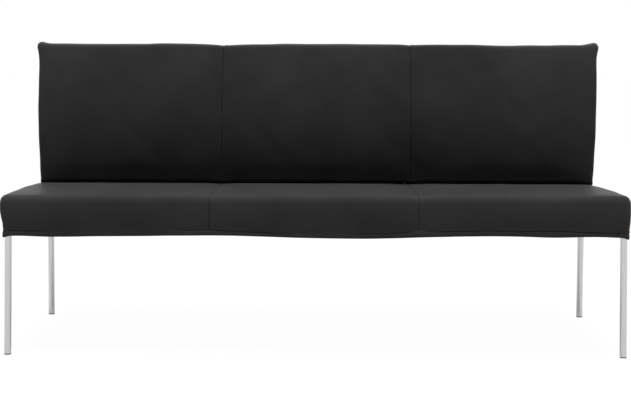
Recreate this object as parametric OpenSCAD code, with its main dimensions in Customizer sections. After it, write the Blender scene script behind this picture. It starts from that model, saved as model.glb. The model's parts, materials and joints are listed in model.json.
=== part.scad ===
// Dining sofa: a long upholstered seat on four thin tube legs, with a leaning back pad.
// X runs along the length, Y from front to rear and Z up. The origin is on the floor,
// midway along the length and the depth.

/* [Seat] */
// Width of the seat at its fullest line
seat_w = 1840; // [1500:1:2200]
// Depth of the seat block from front to rear
seat_d = 620; // [590:1:660]
// Height of the front edge of the seat above the floor
seat_h = 477; // [440:1:500]
// Height of the seat block from its hem to its front edge
seat_t = 124; // [118:1:132]
// Drop of the seat top from its front edge to its rear edge
seat_drop = 22; // [0:1:30]
// Rise of the crown along the middle of the seat top
seat_crown = 4; // [0:0.5:8]
// How far the seat's sides draw in at the hem
low_draw = 5.7; // [4:0.1:8]
// How far the seat's sides draw in at the top edge
top_draw = 3; // [1:0.5:5]
// Distance of the left sewn channel of the seat from the middle
seat_seam_left = 311; // [250:1:360]
// Distance of the right sewn channel of the seat from the middle
seat_seam_right = 299; // [250:1:360]

/* [Back] */
// Rise of the back's top edge above the front edge of the seat
back_rise = 443; // [400:1:480]
// How far the back's top stands out behind the seat
back_over = 20; // [15:1:30]
// Distance of the back's lower rear edge from the rear of the seat
back_set = 4; // [2:0.5:8]
// How far each end of the back's lower edge stands out past the seat
back_low_over = 1; // [0:0.5:3]
// How much further each end of the back's upper edge stands out
back_flare = 19; // [0:1:30]
// Thickness of the back at its lower edge
back_t_low = 116; // [106:1:120]
// Thickness of the back at its upper edge
back_t_high = 76; // [70:1:90]
// Swell of the back's front face
back_crown = 7; // [0:0.5:12]
// Swell of the back's rear face
back_rear_crown = 2; // [0:0.5:4]
// Distance of the sewn channels of the back from the middle
back_seam = 312; // [250:1:360]
// Size of the pulled tips at the back's upper corners
ear = 5; // [0:0.5:8]

/* [Leather and padding] */
// Thickness of the leather
leather_t = 1.4; // [1:0.1:1.8]
// Radius of the seat's upper edge in front
seat_front_r = 28; // [20:1:30]
// Radius of the seat's upper edge at the rear
seat_rear_r = 15; // [10:1:18]
// Radius of the seat's upper edges at the ends
seat_end_r = 16; // [9:1:18]
// Radius of the seat's upright corners at the hem
seat_corner_r = 8; // [6:0.5:9]
// Radius of the back's long edges
back_edge_r = 13; // [11:1:16]
// Radius of the back's end edges
back_corner_r = 10; // [7:0.5:11]
// Depth of a sewn channel
channel_d = 5; // [2:0.5:6]
// Reach of a sewn channel to each side
channel_w = 95; // [60:1:120]
// Height of the folded hem band
hem_band = 18; // [14:1:24]
// Thickness of the folded hem band
hem_t = 2; // [1.6:0.1:2.4]
// Thickness of the felt sheet on the webbing
felt_t = 4; // [3:0.5:6]
// Thickness of the padding in front of the chassis
front_pad = 12; // [8:0.5:16]
// Thickness of the padding behind the chassis
rear_pad = 5; // [5:0.5:7]
// Thickness of the black cloth under the seat and the back
cloth_t = 0.8; // [0.6:0.1:1.2]

/* [Legs] */
// Diameter of the leg tube
leg_d = 20; // [16:1:24]
// Wall of the leg tube
leg_wall = 1.5; // [1:0.1:2]
// Outward lean of the front legs in degrees
front_splay = 0.75; // [0:0.05:1.5]
// How far the rear legs stand in from the line of the front legs
rear_inset = 4; // [0:0.5:8]
// Height of the legs' top above the hem
leg_rise = 7; // [6:0.5:9]
// Side of the square plate on top of a leg
flange_side = 76; // [70:1:90]
// Thickness of the plate on top of a leg
flange_t = 4; // [3:0.5:5]
// Thickness of the plastic glide under a leg
glide_t = 3; // [2:0.5:5]
// Length of the glide's plug inside the leg
glide_plug = 18; // [12:1:25]

/* [Chassis] */
// Width of the rectangular tube of the outer rails
rail_w = 20; // [20:1:25]
// Height of the rectangular tube of the outer rails
rail_h = 30; // [25:1:32]
// Wall of the rectangular tubes
rail_wall = 1.5; // [1.2:0.1:2]
// Height of the tube of the two cross rails
cross_h = 15; // [12:1:20]
// Width of the tube of the two cross rails
cross_w = 30; // [25:1:40]
// Distance of the cross rails from the middle
cross_x = 305; // [250:1:360]
// Thickness of the corner gussets
gusset_t = 5; // [4:0.5:6]

/* [Webbing] */
// Width of a webbing strap
strap_w = 70; // [50:1:80]
// Thickness of a webbing strap
strap_t = 2; // [1.5:0.1:2.5]
// Number of straps from front to rear in each half of the seat
strap_pairs = 7; // [6:1:8]
// Number of straps along the length
long_straps = 4; // [3:1:5]
// Width of the steel strips that clamp the strap ends
clamp_w = 12; // [10:0.5:14]
// Thickness of the clamp strips
clamp_t = 2; // [1.5:0.1:2.5]

/* [Back frame] */
// Width of an upright
upright_w = 40; // [30:1:50]
// Thickness of an upright
upright_t = 8; // [6:0.5:9]
// Number of strap spacings from the middle to the outer uprights
upright_steps = 5; // [3:1:5]
// Distance of the leaning frame's top from the back's rear
frame_cover = 16; // [14:1:20]
// Height of the uprights' bend above the rear edge of the seat
bend_rise = 1; // [0:0.5:4]
// Thickness of the plywood panel
panel_t = 9; // [6:0.5:12]
// Distance of the panel's ends from the back's ends
panel_margin = 40; // [30:1:60]
// Distance of the panel's top from the back's top
panel_top_gap = 28; // [24:1:40]
// Distance of the panel's foot from the bend of the uprights
panel_foot_gap = 30; // [25:1:40]
// Height of the flat rail that joins the uprights
top_rail_h = 30; // [20:1:40]

/* [Fasteners] */
// Shank diameter of the bolts through the leg plates
leg_bolt_d = 6; // [5:0.5:8]
// Shank diameter of the bolts that hold the uprights
upright_bolt_d = 8; // [6:0.5:8]
// Distance between the two bolts of an upright
upright_bolt_pitch = 14; // [14:0.5:16]
// Length of an upright bolt's shank
upright_bolt_l = 18; // [14:1:19]
// Shank diameter of the panel screws
screw_d = 5; // [4:0.5:6]
// Number of screws on each upright
screws_per_upright = 4; // [3:1:6]
// Shank diameter of the rivets in the clamp strips
rivet_d = 4; // [3:0.5:5]

/* [Hidden] */
// Clearance between pieces that are fitted by hand
fit_gap = 0.3;
// Radial clearance of a bolt, screw or rivet in its hole
bolt_gap = 0.2;
// Wall of the threaded sleeves that hold the upright bolts
sleeve_wall = 1.5;
// How far a leg's side stands out past the chassis
rail_set = 1;
// Overrun of every cut
over = 1;
// Heights and widths of heads and nuts, and the end of a bolt past its nut, as shares of
// the fastener's shank
head_h_share = 0.65;
head_w_share = 1.7;
nut_h_share = 0.8;
bolt_end_share = 0.2;
rivet_head_share = 0.25;
round_head_share = 1.5;
// Subdivisions of the soft forms
face_steps = 4;
top_steps = 6;
back_steps = 6;
arc_steps = 3;
end_arc_steps = 3;
wall_steps = 3;
mid_steps = 3;
// Places of the section lines beside a sewn channel, as shares of its reach
channel_shares = [0, 0.05, 0.2, 0.45, 1];
// Reach of the back's leather under the pad, in front and at the rear, as shares of the
// lower thickness
tuck_share = 0.28;
rear_tuck_share = 0.18;
round_fn = 48;
small_fn = 24;

// Heights
hem_h = seat_h - seat_t;
back_h = seat_h + back_rise;
seat_low = hem_h + hem_band;
leg_top = hem_h + leg_rise;
rail_z = leg_top + flange_t;
rail_top = rail_z + rail_h;
weave = strap_t + fit_gap;
web_mid = rail_top + (strap_t + weave) / 2;
felt_z = rail_top + 2 * strap_t + fit_gap;
foam_z = felt_z + felt_t;

// Outer lines of the seat
total_d = seat_d + back_over;
seat_y0 = -total_d / 2;
seat_y1 = seat_y0 + seat_d;
side_bulge = (low_draw + top_draw) / 2;
seat_side = [seat_w - 2 * low_draw, seat_w - 2 * top_draw, seat_low, seat_h, side_bulge];
seat_ends = [seat_corner_r, seat_end_r];

// Leg axes and the outer faces of the chassis
to_leg = low_draw + hem_t + fit_gap + leg_d / 2;
leg_x = seat_w / 2 - to_leg;
leg_x_rear = leg_x - rear_inset;
leg_y0 = seat_y0 + to_leg + front_pad;
leg_y1 = seat_y1 - to_leg - rear_pad;
rail_x = leg_x + leg_d / 2 - rail_set;
rail_y0 = leg_y0 - leg_d / 2 + rail_set;
rail_y1 = leg_y1 + leg_d / 2 - rail_set;

// Lines of the back, as places in the plane across the sofa
seat_slope = seat_drop / seat_d;
back_y1 = seat_y1 - back_set;
back_y0 = back_y1 - back_t_low;
back_y3 = seat_y1 + back_over;
back_y2 = back_y3 - back_t_high;
back_z0 = seat_top(back_y0) + fit_gap;
back_z1 = seat_top(back_y1) + fit_gap;
foot_slope = (back_z0 - back_z1) / back_t_low;
back_w_low = seat_w + 2 * back_low_over;
back_w_high = back_w_low + 2 * back_flare;
back_side = [back_w_low, back_w_high, back_z1, back_h, 0];
back_ends = [back_corner_r, back_corner_r];
tuck = back_t_low * tuck_share;
rear_tuck = back_t_low * rear_tuck_share;

// Uprights: their front face, their bend and the frame that leans with them
upright_y = rail_y1 - rail_w - upright_t;
bend_z = seat_top_line(seat_y1) + bend_rise;
upright_lean = atan((back_y3 - frame_cover - upright_t - upright_y)
    / (back_h - panel_top_gap - bend_z));
lean_l = (back_h - panel_top_gap - bend_z) / cos(upright_lean);
panel_l = lean_l - panel_foot_gap;
upright_bolt_z = rail_z + rail_h / 2;

// Places of the bolts in a gusset, from the chassis's outer corner
bolt_spot_shares = [0.3, 0.7];
flange_in = flange_side - rail_w;
bolt_spots = [for (share = bolt_spot_shares) rail_w + flange_in * share];

// Spacing of the webbing; the uprights stand between two straps
cross_straps = 2 * strap_pairs;
cross_pitch = 2 * (rail_x - rail_w) / cross_straps;
long_pitch = (rail_y1 - rail_y0 - 2 * rail_w) / long_straps;
cross_xs = [for (k = [0:cross_straps - 1]) (k - (cross_straps - 1) / 2) * cross_pitch];
long_ys = [for (k = [0:long_straps - 1])
    (rail_y0 + rail_y1) / 2 + (k - (long_straps - 1) / 2) * long_pitch];
clamp_set = rail_w / 4;
upright_x = upright_steps * cross_pitch;
upright_xs = [-upright_x, 0, upright_x];

leather = "#262626";
steel = "#bdbbb6";
black_steel = "#2b2d30";
foam = "#d9cfa8";
felt = "#77736b";
strap = "#8c7a5a";
cloth = "#1b1b1b";
plastic = "#151515";
wood = "#b98f5e";
zinc = "#a9adb0";

// Height of the straight line of the seat top, without its crown
function seat_top_line(y) = seat_h - seat_slope * (y - seat_y0);

// Height of the crowned seat top, between its rounded edges
function seat_top(y) =
    let (flat = seat_d - 2 * top_draw - seat_front_r - seat_rear_r,
         s = min(1, max(0, (y - seat_y0 - top_draw - seat_front_r) / flat)))
    seat_top_line(y) + seat_crown * 4 * s * (1 - s);

function lerp(a, b, s) = a + (b - a) * s;
function unit(v) = v / norm(v);
function left_of(v) = [-v[1], v[0]];
function clockwise(v, a) = [v[0] * cos(a) + v[1] * sin(a), v[1] * cos(a) - v[0] * sin(a)];
function reversed(list) = [for (k = [len(list) - 1:-1:0]) list[k]];

// Stations of a rounded outline: corners p with radii r, each straight in steps with a bulge.
// A station is a place and the outward direction there.
function outline(p, r, steps, bulge) =
    let (last = len(p) - 1,
         way = [for (k = [0:last - 1]) unit(p[k + 1] - p[k])],
         turned = [for (k = [0:last]) k == 0 || k == last ? 0 : acos(way[k - 1] * way[k])],
         cut = [for (k = [0:last]) r[k] * tan(turned[k] / 2)])
    [for (k = [0:last - 1])
        let (a = p[k] + way[k] * cut[k], b = p[k + 1] - way[k] * cut[k + 1], out = left_of(way[k]))
        each concat(
            [for (i = [0:steps[k]]) let (s = i / steps[k])
                [lerp(a, b, s) + out * bulge[k] * 4 * s * (1 - s), out]],
            k == last - 1 ? [] :
            [for (i = [1:arc_steps - 1]) let (n = clockwise(out, turned[k + 1] * i / arc_steps))
                [b + (n - out) * r[k + 1], n]])
    ];

// Outline of the seat's leather, from the front hem over the top to the rear hem
seat_outline = outline(
    [[seat_y0 + low_draw, seat_low], [seat_y0 + top_draw, seat_h],
     [seat_y1 - top_draw, seat_h - seat_drop], [seat_y1 - low_draw, seat_low]],
    [0, seat_front_r, seat_rear_r, 0], [face_steps, top_steps, face_steps],
    [side_bulge, seat_crown, side_bulge]);

// Outline of the seat foam: upright sides from the felt, which clear the leather's leaning
// sides where its upper edges begin to round
foam_y0 = seat_y0 + top_draw + (low_draw - top_draw) * seat_front_r / (seat_h - seat_low);
foam_y1 = seat_y1 - top_draw
    - (low_draw - top_draw) * seat_rear_r / (seat_h - seat_drop - seat_low);
seat_foam_outline = outline(
    [[foam_y0, foam_z], [foam_y0, seat_h], [foam_y1, seat_h - seat_drop], [foam_y1, foam_z]],
    [0, seat_front_r, seat_rear_r, 0], [1, top_steps, 1], [0, seat_crown, 0]);

back_low_front = [back_y0, back_z0];
back_low_rear = [back_y1, back_z1];
back_top_front = [back_y2, back_h];
back_top_rear = [back_y3, back_h];

// Outline of the back's leather, from under the front edge over the top to under the rear edge
back_outline = outline(
    [back_low_front + [tuck, -foot_slope * tuck], back_low_front, back_top_front,
     back_top_rear, back_low_rear, back_low_rear + [-rear_tuck, foot_slope * rear_tuck]],
    [0, back_edge_r, back_edge_r, back_edge_r, back_edge_r, 0], [1, back_steps, 2, back_steps, 1],
    [0, back_crown, 0, back_rear_crown, 0]);

// Place on the front face of the uprights' leaning part, at a height, moved back by d
function lean_at(z, d) = upright_y + (z - bend_z) * tan(upright_lean) + d / cos(upright_lean);
function underside(y) = back_z0 - foot_slope * (y - back_y0);
// Faces of the two foams towards the leaning frame; the front foam is drawn down at the
// channels, and its leaning rear face stays clear of the panel there
panel_line = -panel_t - fit_gap - (leather_t + fit_gap + channel_d) * tan(upright_lean);
behind_line = upright_t + fit_gap;

back_foam_front_outline = outline(
    [[lean_at(back_z0, panel_line), underside(lean_at(back_z0, panel_line))],
     back_low_front, back_top_front, [lean_at(back_h, panel_line), back_h]],
    [0, back_edge_r, back_edge_r, 0], [1, back_steps, 1], [0, back_crown, 0]);
back_foam_rear_outline = outline(
    [[lean_at(back_h, behind_line), back_h], back_top_rear,
     back_low_rear, [lean_at(back_z1, behind_line), underside(lean_at(back_z1, behind_line))]],
    [0, back_edge_r, back_edge_r, 0], [1, back_steps, 1], [0, back_rear_crown, 0]);

// Half the width of a pad at a height; side is [low width, high width, low z, high z, bulge]
function half_at(side, z) =
    let (s = min(1, max(0, (z - side[2]) / (side[3] - side[2]))))
    lerp(side[0], side[1], s) / 2 + 4 * side[4] * s * (1 - s);

// Radius of a pad's end edge at a station; ends is [radius at the foot, radius at the top]
function end_r(ends, side, station) =
    lerp(ends[0], ends[1], min(1, max(0, (station[0][1] - side[2]) / (side[3] - side[2]))));

// Depth of the channels at distance d from a seam
function channel(d) = channel_d * pow(max(0, 1 - abs(d) / channel_w), 3);

// One station moved in by inset
function moved(station, inset) = station[0] - station[1] * inset;

// Distances of the section lines from a seam, up to a reach
function line_steps(reach) = concat(
    [for (s = channel_shares) s * channel_w],
    [for (k = [1:mid_steps]) lerp(channel_w, reach, k / mid_steps)]);

// Sections of a panel between two seams
function centre_rows(stations, x0, x1, inset) =
    let (mid = (x0 + x1) / 2, steps = line_steps(mid - x0))
    [for (x = concat([for (d = steps) x0 + d], reversed([for (k = [0:len(steps) - 2]) x1 - steps[k]])))
        let (d = min(x - x0, x1 - x))
        [for (st = stations) let (p = moved(st, inset + channel(d))) [x, p[0], p[1]]]];

// Sections from a seam to the rounded end edge of a pad
function side_rows(stations, side, seam, ends, inset) =
    let (reach = side[0] / 2 - max(ends) - seam)
    [for (d = line_steps(reach))
        [for (st = stations)
            let (p = moved(st, inset + channel(d)))
            [lerp(seam, half_at(side, p[1]) - end_r(ends, side, st), d / reach), p[0], p[1]]]];

// Rows round the end edge, with a pulled tip at each upper corner
function edge_rows(stations, side, ends, inset, tip) =
    [for (k = [1:end_arc_steps])
        let (a = 90 * k / end_arc_steps)
        [for (st = stations)
            let (r = end_r(ends, side, st),
                 p = moved(st, inset + (r - inset) * (1 - cos(a))),
                 pull = tip * 2 * max(0, st[1][1]) * abs(st[1][0]) * sin(2 * a))
            [half_at(side, p[1]) - r + (r - inset) * sin(a) + pull, p[0], p[1] + pull]]];

// Rows down the end wall, from its rounded edge to its lower edge
function wall_rows(stations, side, ends, inset) =
    let (edge = [for (st = stations) moved(st, end_r(ends, side, st))],
         n = len(edge), first = edge[0], last = edge[n - 1])
    [for (k = [1:wall_steps])
        [for (j = [0:n - 1])
            let (p = lerp(edge[j], lerp(first, last, (j + 0.5) / n), k / wall_steps))
            [half_at(side, p[1]) - inset, p[0], p[1]]]];

function side_skin(stations, side, seam, ends, inset, tip) = concat(
    side_rows(stations, side, seam, ends, inset),
    edge_rows(stations, side, ends, inset, tip),
    wall_rows(stations, side, ends, inset));

// A sheet of leather between two grids of places, closed along its rim
module skin(outer, inner) {
    rows = len(outer);
    cols = len(outer[0]);
    shift = rows * cols;
    function at(i, j) = i * cols + j;
    function sheet(base, flip) = [for (i = [0:rows - 2], j = [0:cols - 2])
        let (a = base + at(i, j), b = base + at(i, j + 1),
             c = base + at(i + 1, j + 1), d = base + at(i + 1, j))
        each flip ? [[a, c, b], [a, d, c]] : [[a, b, c], [a, c, d]]];
    function rim(line) = [for (k = [0:len(line) - 2])
        let (a = line[k], b = line[k + 1])
        each [[b, a, a + shift], [b, a + shift, b + shift]]];
    polyhedron(
        points = concat([for (row = outer) each row], [for (row = inner) each row]),
        faces = concat(
            sheet(0, false), sheet(shift, true),
            rim([for (j = [0:cols - 1]) at(0, j)]),
            rim([for (i = [0:rows - 1]) at(i, cols - 1)]),
            rim([for (j = [cols - 1:-1:0]) at(rows - 1, j)]),
            rim([for (i = [rows - 1:-1:0]) at(i, 0)])),
        convexity = 10);
}

// A closed block through a row of closed sections
module loft(sections) {
    rows = len(sections);
    cols = len(sections[0]);
    function at(i, j) = i * cols + j % cols;
    polyhedron(
        points = [for (row = sections) each row],
        faces = concat(
            [for (i = [0:rows - 2], j = [0:cols - 1])
                each [[at(i, j), at(i, j + 1), at(i + 1, j + 1)],
                      [at(i, j), at(i + 1, j + 1), at(i + 1, j)]]],
            [[for (j = [cols - 1:-1:0]) at(0, j)]],
            [[for (j = [0:cols - 1]) at(rows - 1, j)]]),
        convexity = 4);
}

// Sections of a foam block over the whole length, inside the leather of a pad
function foam_rows(stations, side, seam_left, seam_right, ends) =
    let (inset = leather_t + fit_gap,
         right = concat(side_rows(stations, side, seam_right, ends, inset),
                        edge_rows(stations, side, ends, inset, 0)),
         left = concat(side_rows(stations, side, seam_left, ends, inset),
                       edge_rows(stations, side, ends, inset, 0)),
         middle = centre_rows(stations, -seam_left, seam_right, inset))
    concat([for (row = reversed(left)) [for (p = row) [-p[0], p[1], p[2]]]],
           [for (k = [1:len(middle) - 2]) middle[k]], right);

module on_both_sides() {
    children();
    mirror([1, 0, 0]) children();
}

// Square tube along X, from the origin
module square_tube(l, w, h) {
    difference() {
        cube([l, w, h]);
        translate([-over, rail_wall, rail_wall])
            cube([l + 2 * over, w - 2 * rail_wall, h - 2 * rail_wall]);
    }
}

// Plate with rounded corners, centred, lying on the plane
module rounded_plan(x, y, r) {
    square([x - 2 * r, y], center = true);
    square([x, y - 2 * r], center = true);
    for (sx = [-1, 1], sy = [-1, 1])
        translate([sx * (x / 2 - r), sy * (y / 2 - r)]) circle(r, $fn = round_fn);
}

// Places of the clamp rivets along the front and rear rails, between the straps
rivet_xs = [for (k = [1:cross_straps - 1]) (k - cross_straps / 2) * cross_pitch];
rivet_ys = [for (k = [1:long_straps - 1])
    (rail_y0 + rail_y1) / 2 + (k - long_straps / 2) * long_pitch];
rivet_edge = clamp_set + clamp_w / 2;

module rivet_holes_long(y) {
    for (x = rivet_xs) translate([x, y, rail_top - rail_wall - over])
        cylinder(d = rivet_d + 2 * bolt_gap, h = rail_wall + 2 * over, $fn = small_fn);
}

module front_rail() {
    color(black_steel) difference() {
        translate([-rail_x, rail_y0, rail_z]) square_tube(2 * rail_x, rail_w, rail_h);
        rivet_holes_long(rail_y0 + rivet_edge);
    }
}

module rear_rail() {
    color(black_steel) difference() {
        translate([-rail_x, rail_y1 - rail_w, rail_z]) square_tube(2 * rail_x, rail_w, rail_h);
        rivet_holes_long(rail_y1 - rivet_edge);
        for (x = upright_xs, s = [-1, 1])
            translate([x + s * upright_bolt_pitch / 2, rail_y1 - rail_w - over, upright_bolt_z])
                rotate([-90, 0, 0])
                    cylinder(d = nut_sleeve_d + 2 * bolt_gap, h = rail_wall + 2 * over,
                             $fn = small_fn);
    }
}

module side_rail() {
    difference() {
        translate([rail_x, rail_y0 + rail_w, rail_z]) rotate([0, 0, 90])
            square_tube(rail_y1 - rail_y0 - 2 * rail_w, rail_w, rail_h);
        for (y = rivet_ys)
            translate([rail_x - rivet_edge, y, rail_top - rail_wall - over])
                cylinder(d = rivet_d + 2 * bolt_gap, h = rail_wall + 2 * over, $fn = small_fn);
    }
}

module side_rail_left() { color(black_steel) mirror([1, 0, 0]) side_rail(); }
module side_rail_right() { color(black_steel) side_rail(); }

module cross_rail(x) {
    color(black_steel) translate([x + cross_w / 2, rail_y0 + rail_w, rail_z]) rotate([0, 0, 90])
        square_tube(rail_y1 - rail_y0 - 2 * rail_w, cross_w, cross_h);
}

module cross_rail_left() { cross_rail(-cross_x); }
module cross_rail_right() { cross_rail(cross_x); }

// Moves its children from the chassis's right front corner to each corner in turn
module at_corners() {
    for (sx = [-1, 1], sy = [-1, 1])
        translate([sx * rail_x, sy < 0 ? rail_y0 : rail_y1, 0]) mirrored(sx, sy) children();
}

// Mirrors a corner drawn for the right front
module mirrored(sx, sy) {
    mirror([sx < 0 ? 1 : 0, 0, 0]) mirror([0, sy > 0 ? 1 : 0, 0]) children();
}

module bolt_holes(z, h) {
    for (s = [0, 1]) translate([-bolt_spots[s], bolt_spots[1 - s], z - over])
        cylinder(d = leg_bolt_d + 2 * bolt_gap, h = h + 2 * over, $fn = small_fn);
}

module corner_gussets() {
    color(black_steel) at_corners() difference() {
        translate([-flange_side, rail_w, rail_z]) cube([flange_in, flange_in, gusset_t]);
        bolt_holes(rail_z, gusset_t);
    }
}

// Place, lean and tube length of a right leg; sy is -1 in front and 1 at the rear
function leg_at(sy) = sy < 0 ? [leg_x, leg_y0, leg_top] : [leg_x_rear, leg_y1, leg_top];
function splay(sy) = sy < 0 ? front_splay : 0;
function tube_l(sy) = leg_top / cos(splay(sy)) - glide_t;

// Moves its children to the lower end of a right leg's tube
module at_tube_end(sy) {
    translate(leg_at(sy)) rotate([0, -splay(sy), 0]) translate([0, 0, -tube_l(sy)]) children();
}

module leg(sy) {
    color(steel) difference() {
        at_tube_end(sy) difference() {
            cylinder(d = leg_d, h = tube_l(sy) + over, $fn = round_fn);
            translate([0, 0, -over])
                cylinder(d = leg_d - 2 * leg_wall, h = tube_l(sy) + 3 * over, $fn = round_fn);
        }
        translate(leg_at(sy) - [leg_d, leg_d, 0]) cube([2 * leg_d, 2 * leg_d, leg_d]);
    }
}

// Square plates welded on top of the legs
module leg_plates() {
    color(steel) at_corners() difference() {
        translate([-flange_side, 0, leg_top]) cube([flange_side, flange_side, flange_t]);
        bolt_holes(leg_top, flange_t);
    }
}

module leg_front_left() { mirror([1, 0, 0]) leg(-1); }
module leg_front_right() { leg(-1); }
module leg_rear_left() { mirror([1, 0, 0]) leg(1); }
module leg_rear_right() { leg(1); }

// A plastic glide: a plug in the tube and a disc cut flat on the floor
module glide(sy) {
    color(plastic) difference() {
        at_tube_end(sy) {
            translate([0, 0, -glide_t - over]) cylinder(d = leg_d, h = glide_t + over, $fn = round_fn);
            cylinder(d = leg_d - 2 * leg_wall - bolt_gap, h = glide_plug, $fn = round_fn);
        }
        translate([leg_at(sy)[0] - leg_d, leg_at(sy)[1] - leg_d, -leg_d])
            cube([2 * leg_d, 2 * leg_d, leg_d]);
    }
}

module glide_front_left() { mirror([1, 0, 0]) glide(-1); }
module glide_front_right() { glide(-1); }
module glide_rear_left() { mirror([1, 0, 0]) glide(1); }
module glide_rear_right() { glide(1); }

// Hexagon head or nut of a bolt with shank d
module hexagon(d, h) {
    cylinder(d = 2 * head_w_share * d / sqrt(3), h = h, $fn = 6);
}

leg_head_h = leg_bolt_d * head_h_share;
leg_nut_h = leg_bolt_d * nut_h_share;
leg_shank_l = leg_head_h / 2 + flange_t + gusset_t + leg_nut_h + leg_bolt_d * bolt_end_share;

module leg_bolts() {
    color(zinc) at_corners() for (s = [0, 1]) translate([-bolt_spots[s], bolt_spots[1 - s], 0]) {
        translate([0, 0, leg_top - leg_head_h]) hexagon(leg_bolt_d, leg_head_h);
        translate([0, 0, leg_top - leg_head_h / 2])
            cylinder(d = leg_bolt_d, h = leg_shank_l, $fn = small_fn);
    }
}

module leg_nuts() {
    color(zinc) at_corners() for (s = [0, 1])
        translate([-bolt_spots[s], bolt_spots[1 - s], rail_z + gusset_t]) difference() {
            hexagon(leg_bolt_d, leg_nut_h);
            translate([0, 0, -over])
                cylinder(d = leg_bolt_d + bolt_gap, h = leg_nut_h + 2 * over, $fn = small_fn);
        }
}

// Side view of a woven strap: it lies on the rails at both ends and passes over and
// under the straps at the given places; phase is 0 or 1
function strap_line(from, to, places, phase) =
    let (flat = strap_w / 2 + 2 * strap_t, rest = rail_w - clamp_set)
    concat([[from, -weave / 2], [from + rest, -weave / 2]],
           [for (k = [0:len(places) - 1], s = [-1, 1])
               [places[k] + s * flat, ((k + phase) % 2 == 0 ? 1 : -1) * weave / 2]],
           [[to - rest, -weave / 2], [to, -weave / 2]]);

module strap_side(line) {
    linear_extrude(strap_w, center = true)
        polygon(concat([for (p = line) p + [0, strap_t / 2]],
                       [for (p = reversed(line)) p - [0, strap_t / 2]]));
}

module webbing_cross() {
    color(strap) for (k = [0:cross_straps - 1]) translate([cross_xs[k], 0, web_mid])
        rotate([90, 0, 90])
            strap_side(strap_line(rail_y0 + clamp_set, rail_y1 - clamp_set, long_ys, k % 2));
}

module webbing_long() {
    color(strap) for (k = [0:long_straps - 1]) translate([0, long_ys[k], web_mid])
        rotate([90, 0, 0])
            strap_side(strap_line(-rail_x + clamp_set, rail_x - clamp_set, cross_xs, (k + 1) % 2));
}

clamp_z = rail_top + strap_t;

module clamp_hole(x, y) {
    translate([x, y, clamp_z - over])
        cylinder(d = rivet_d + 2 * bolt_gap, h = clamp_t + 2 * over, $fn = small_fn);
}

module webbing_clamps() {
    color(zinc) {
        for (y = [rail_y0 + rivet_edge, rail_y1 - rivet_edge]) difference() {
            translate([-rail_x + rail_w, y - clamp_w / 2, clamp_z])
                cube([2 * (rail_x - rail_w), clamp_w, clamp_t]);
            for (x = rivet_xs) clamp_hole(x, y);
        }
        on_both_sides() difference() {
            translate([rail_x - rivet_edge - clamp_w / 2, rail_y0 + rail_w, clamp_z])
                cube([clamp_w, rail_y1 - rail_y0 - 2 * rail_w, clamp_t]);
            for (y = rivet_ys) clamp_hole(rail_x - rivet_edge, y);
        }
    }
}

module rivet(x, y) {
    head_h = rivet_d * rivet_head_share;
    translate([x, y, rail_top - rail_wall])
        cylinder(d = rivet_d, h = rail_wall + strap_t + clamp_t + head_h, $fn = small_fn);
    translate([x, y, clamp_z + clamp_t])
        cylinder(d = head_w_share * rivet_d, h = head_h, $fn = small_fn);
}

module clamp_rivets() {
    color(zinc) {
        for (x = rivet_xs, y = [rail_y0 + rivet_edge, rail_y1 - rivet_edge]) rivet(x, y);
        on_both_sides() for (y = rivet_ys) rivet(rail_x - rivet_edge, y);
    }
}

// Cuts for the uprights where they pass through the seat
module upright_slots(z0, z1) {
    for (x = upright_xs)
        translate([x - upright_w / 2 - fit_gap, upright_y - fit_gap, z0])
            cube([upright_w + 2 * fit_gap, upright_t + slot_lean + 2 * fit_gap, z1 - z0]);
}

slot_lean = max(0, (seat_h - bend_z) * tan(upright_lean));

module felt_sheet() {
    inner_x = rail_x - rivet_edge - clamp_w / 2 - fit_gap;
    inner_y0 = rail_y0 + rivet_edge + clamp_w / 2 + fit_gap;
    inner_y1 = rail_y1 - rivet_edge - clamp_w / 2 - fit_gap;
    color(felt) difference() {
        translate([-inner_x, inner_y0, felt_z]) cube([2 * inner_x, inner_y1 - inner_y0, felt_t]);
        upright_slots(felt_z - over, foam_z + over);
    }
}

module seat_foam() {
    color(foam) difference() {
        loft(foam_rows(seat_foam_outline, [seat_side[0], seat_side[0], seat_low, seat_h, 0],
                       seat_seam_left, seat_seam_right, seat_ends));
        upright_slots(foam_z - over, seat_h);
    }
}

// Plan of the seat at the hem, drawn in by inset
module hem_plan(inset) {
    y0 = seat_y0 + low_draw + inset;
    y1 = seat_y1 - low_draw - inset;
    translate([0, (y0 + y1) / 2])
        rounded_plan(seat_w - 2 * low_draw - 2 * inset, y1 - y0, seat_corner_r - inset);
}

// The part of a ring in plan that runs along one side of the seat; the end strips lie
// between near_y and far_y
module strip_of(place, near_y, far_y) {
    intersection() {
        children();
        if (place == "front")
            translate([-seat_w, seat_y0 - over]) square([2 * seat_w, near_y - seat_y0 + over]);
        if (place == "rear") translate([-seat_w, far_y]) square([2 * seat_w, seat_d]);
        if (place == "left") translate([-seat_w, near_y]) square([seat_w, far_y - near_y]);
        if (place == "right") translate([0, near_y]) square([seat_w, far_y - near_y]);
    }
}

// Notches in plan where the seat's channels press into the padding, from the line at y
// towards the middle of the seat
module channel_notches(y) {
    into = y < 0 ? 1 : -1;
    spots = [for (s = channel_shares) [s * channel_w, into * channel(s * channel_w)]];
    for (seam = [-seat_seam_left, seat_seam_right]) translate([seam, y])
        polygon(concat([[channel_w, -into * over], [-channel_w, -into * over]],
                       [for (p = reversed(spots)) [-p[0], p[1]]],
                       [for (k = [1:len(spots) - 1]) spots[k]]));
}

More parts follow.
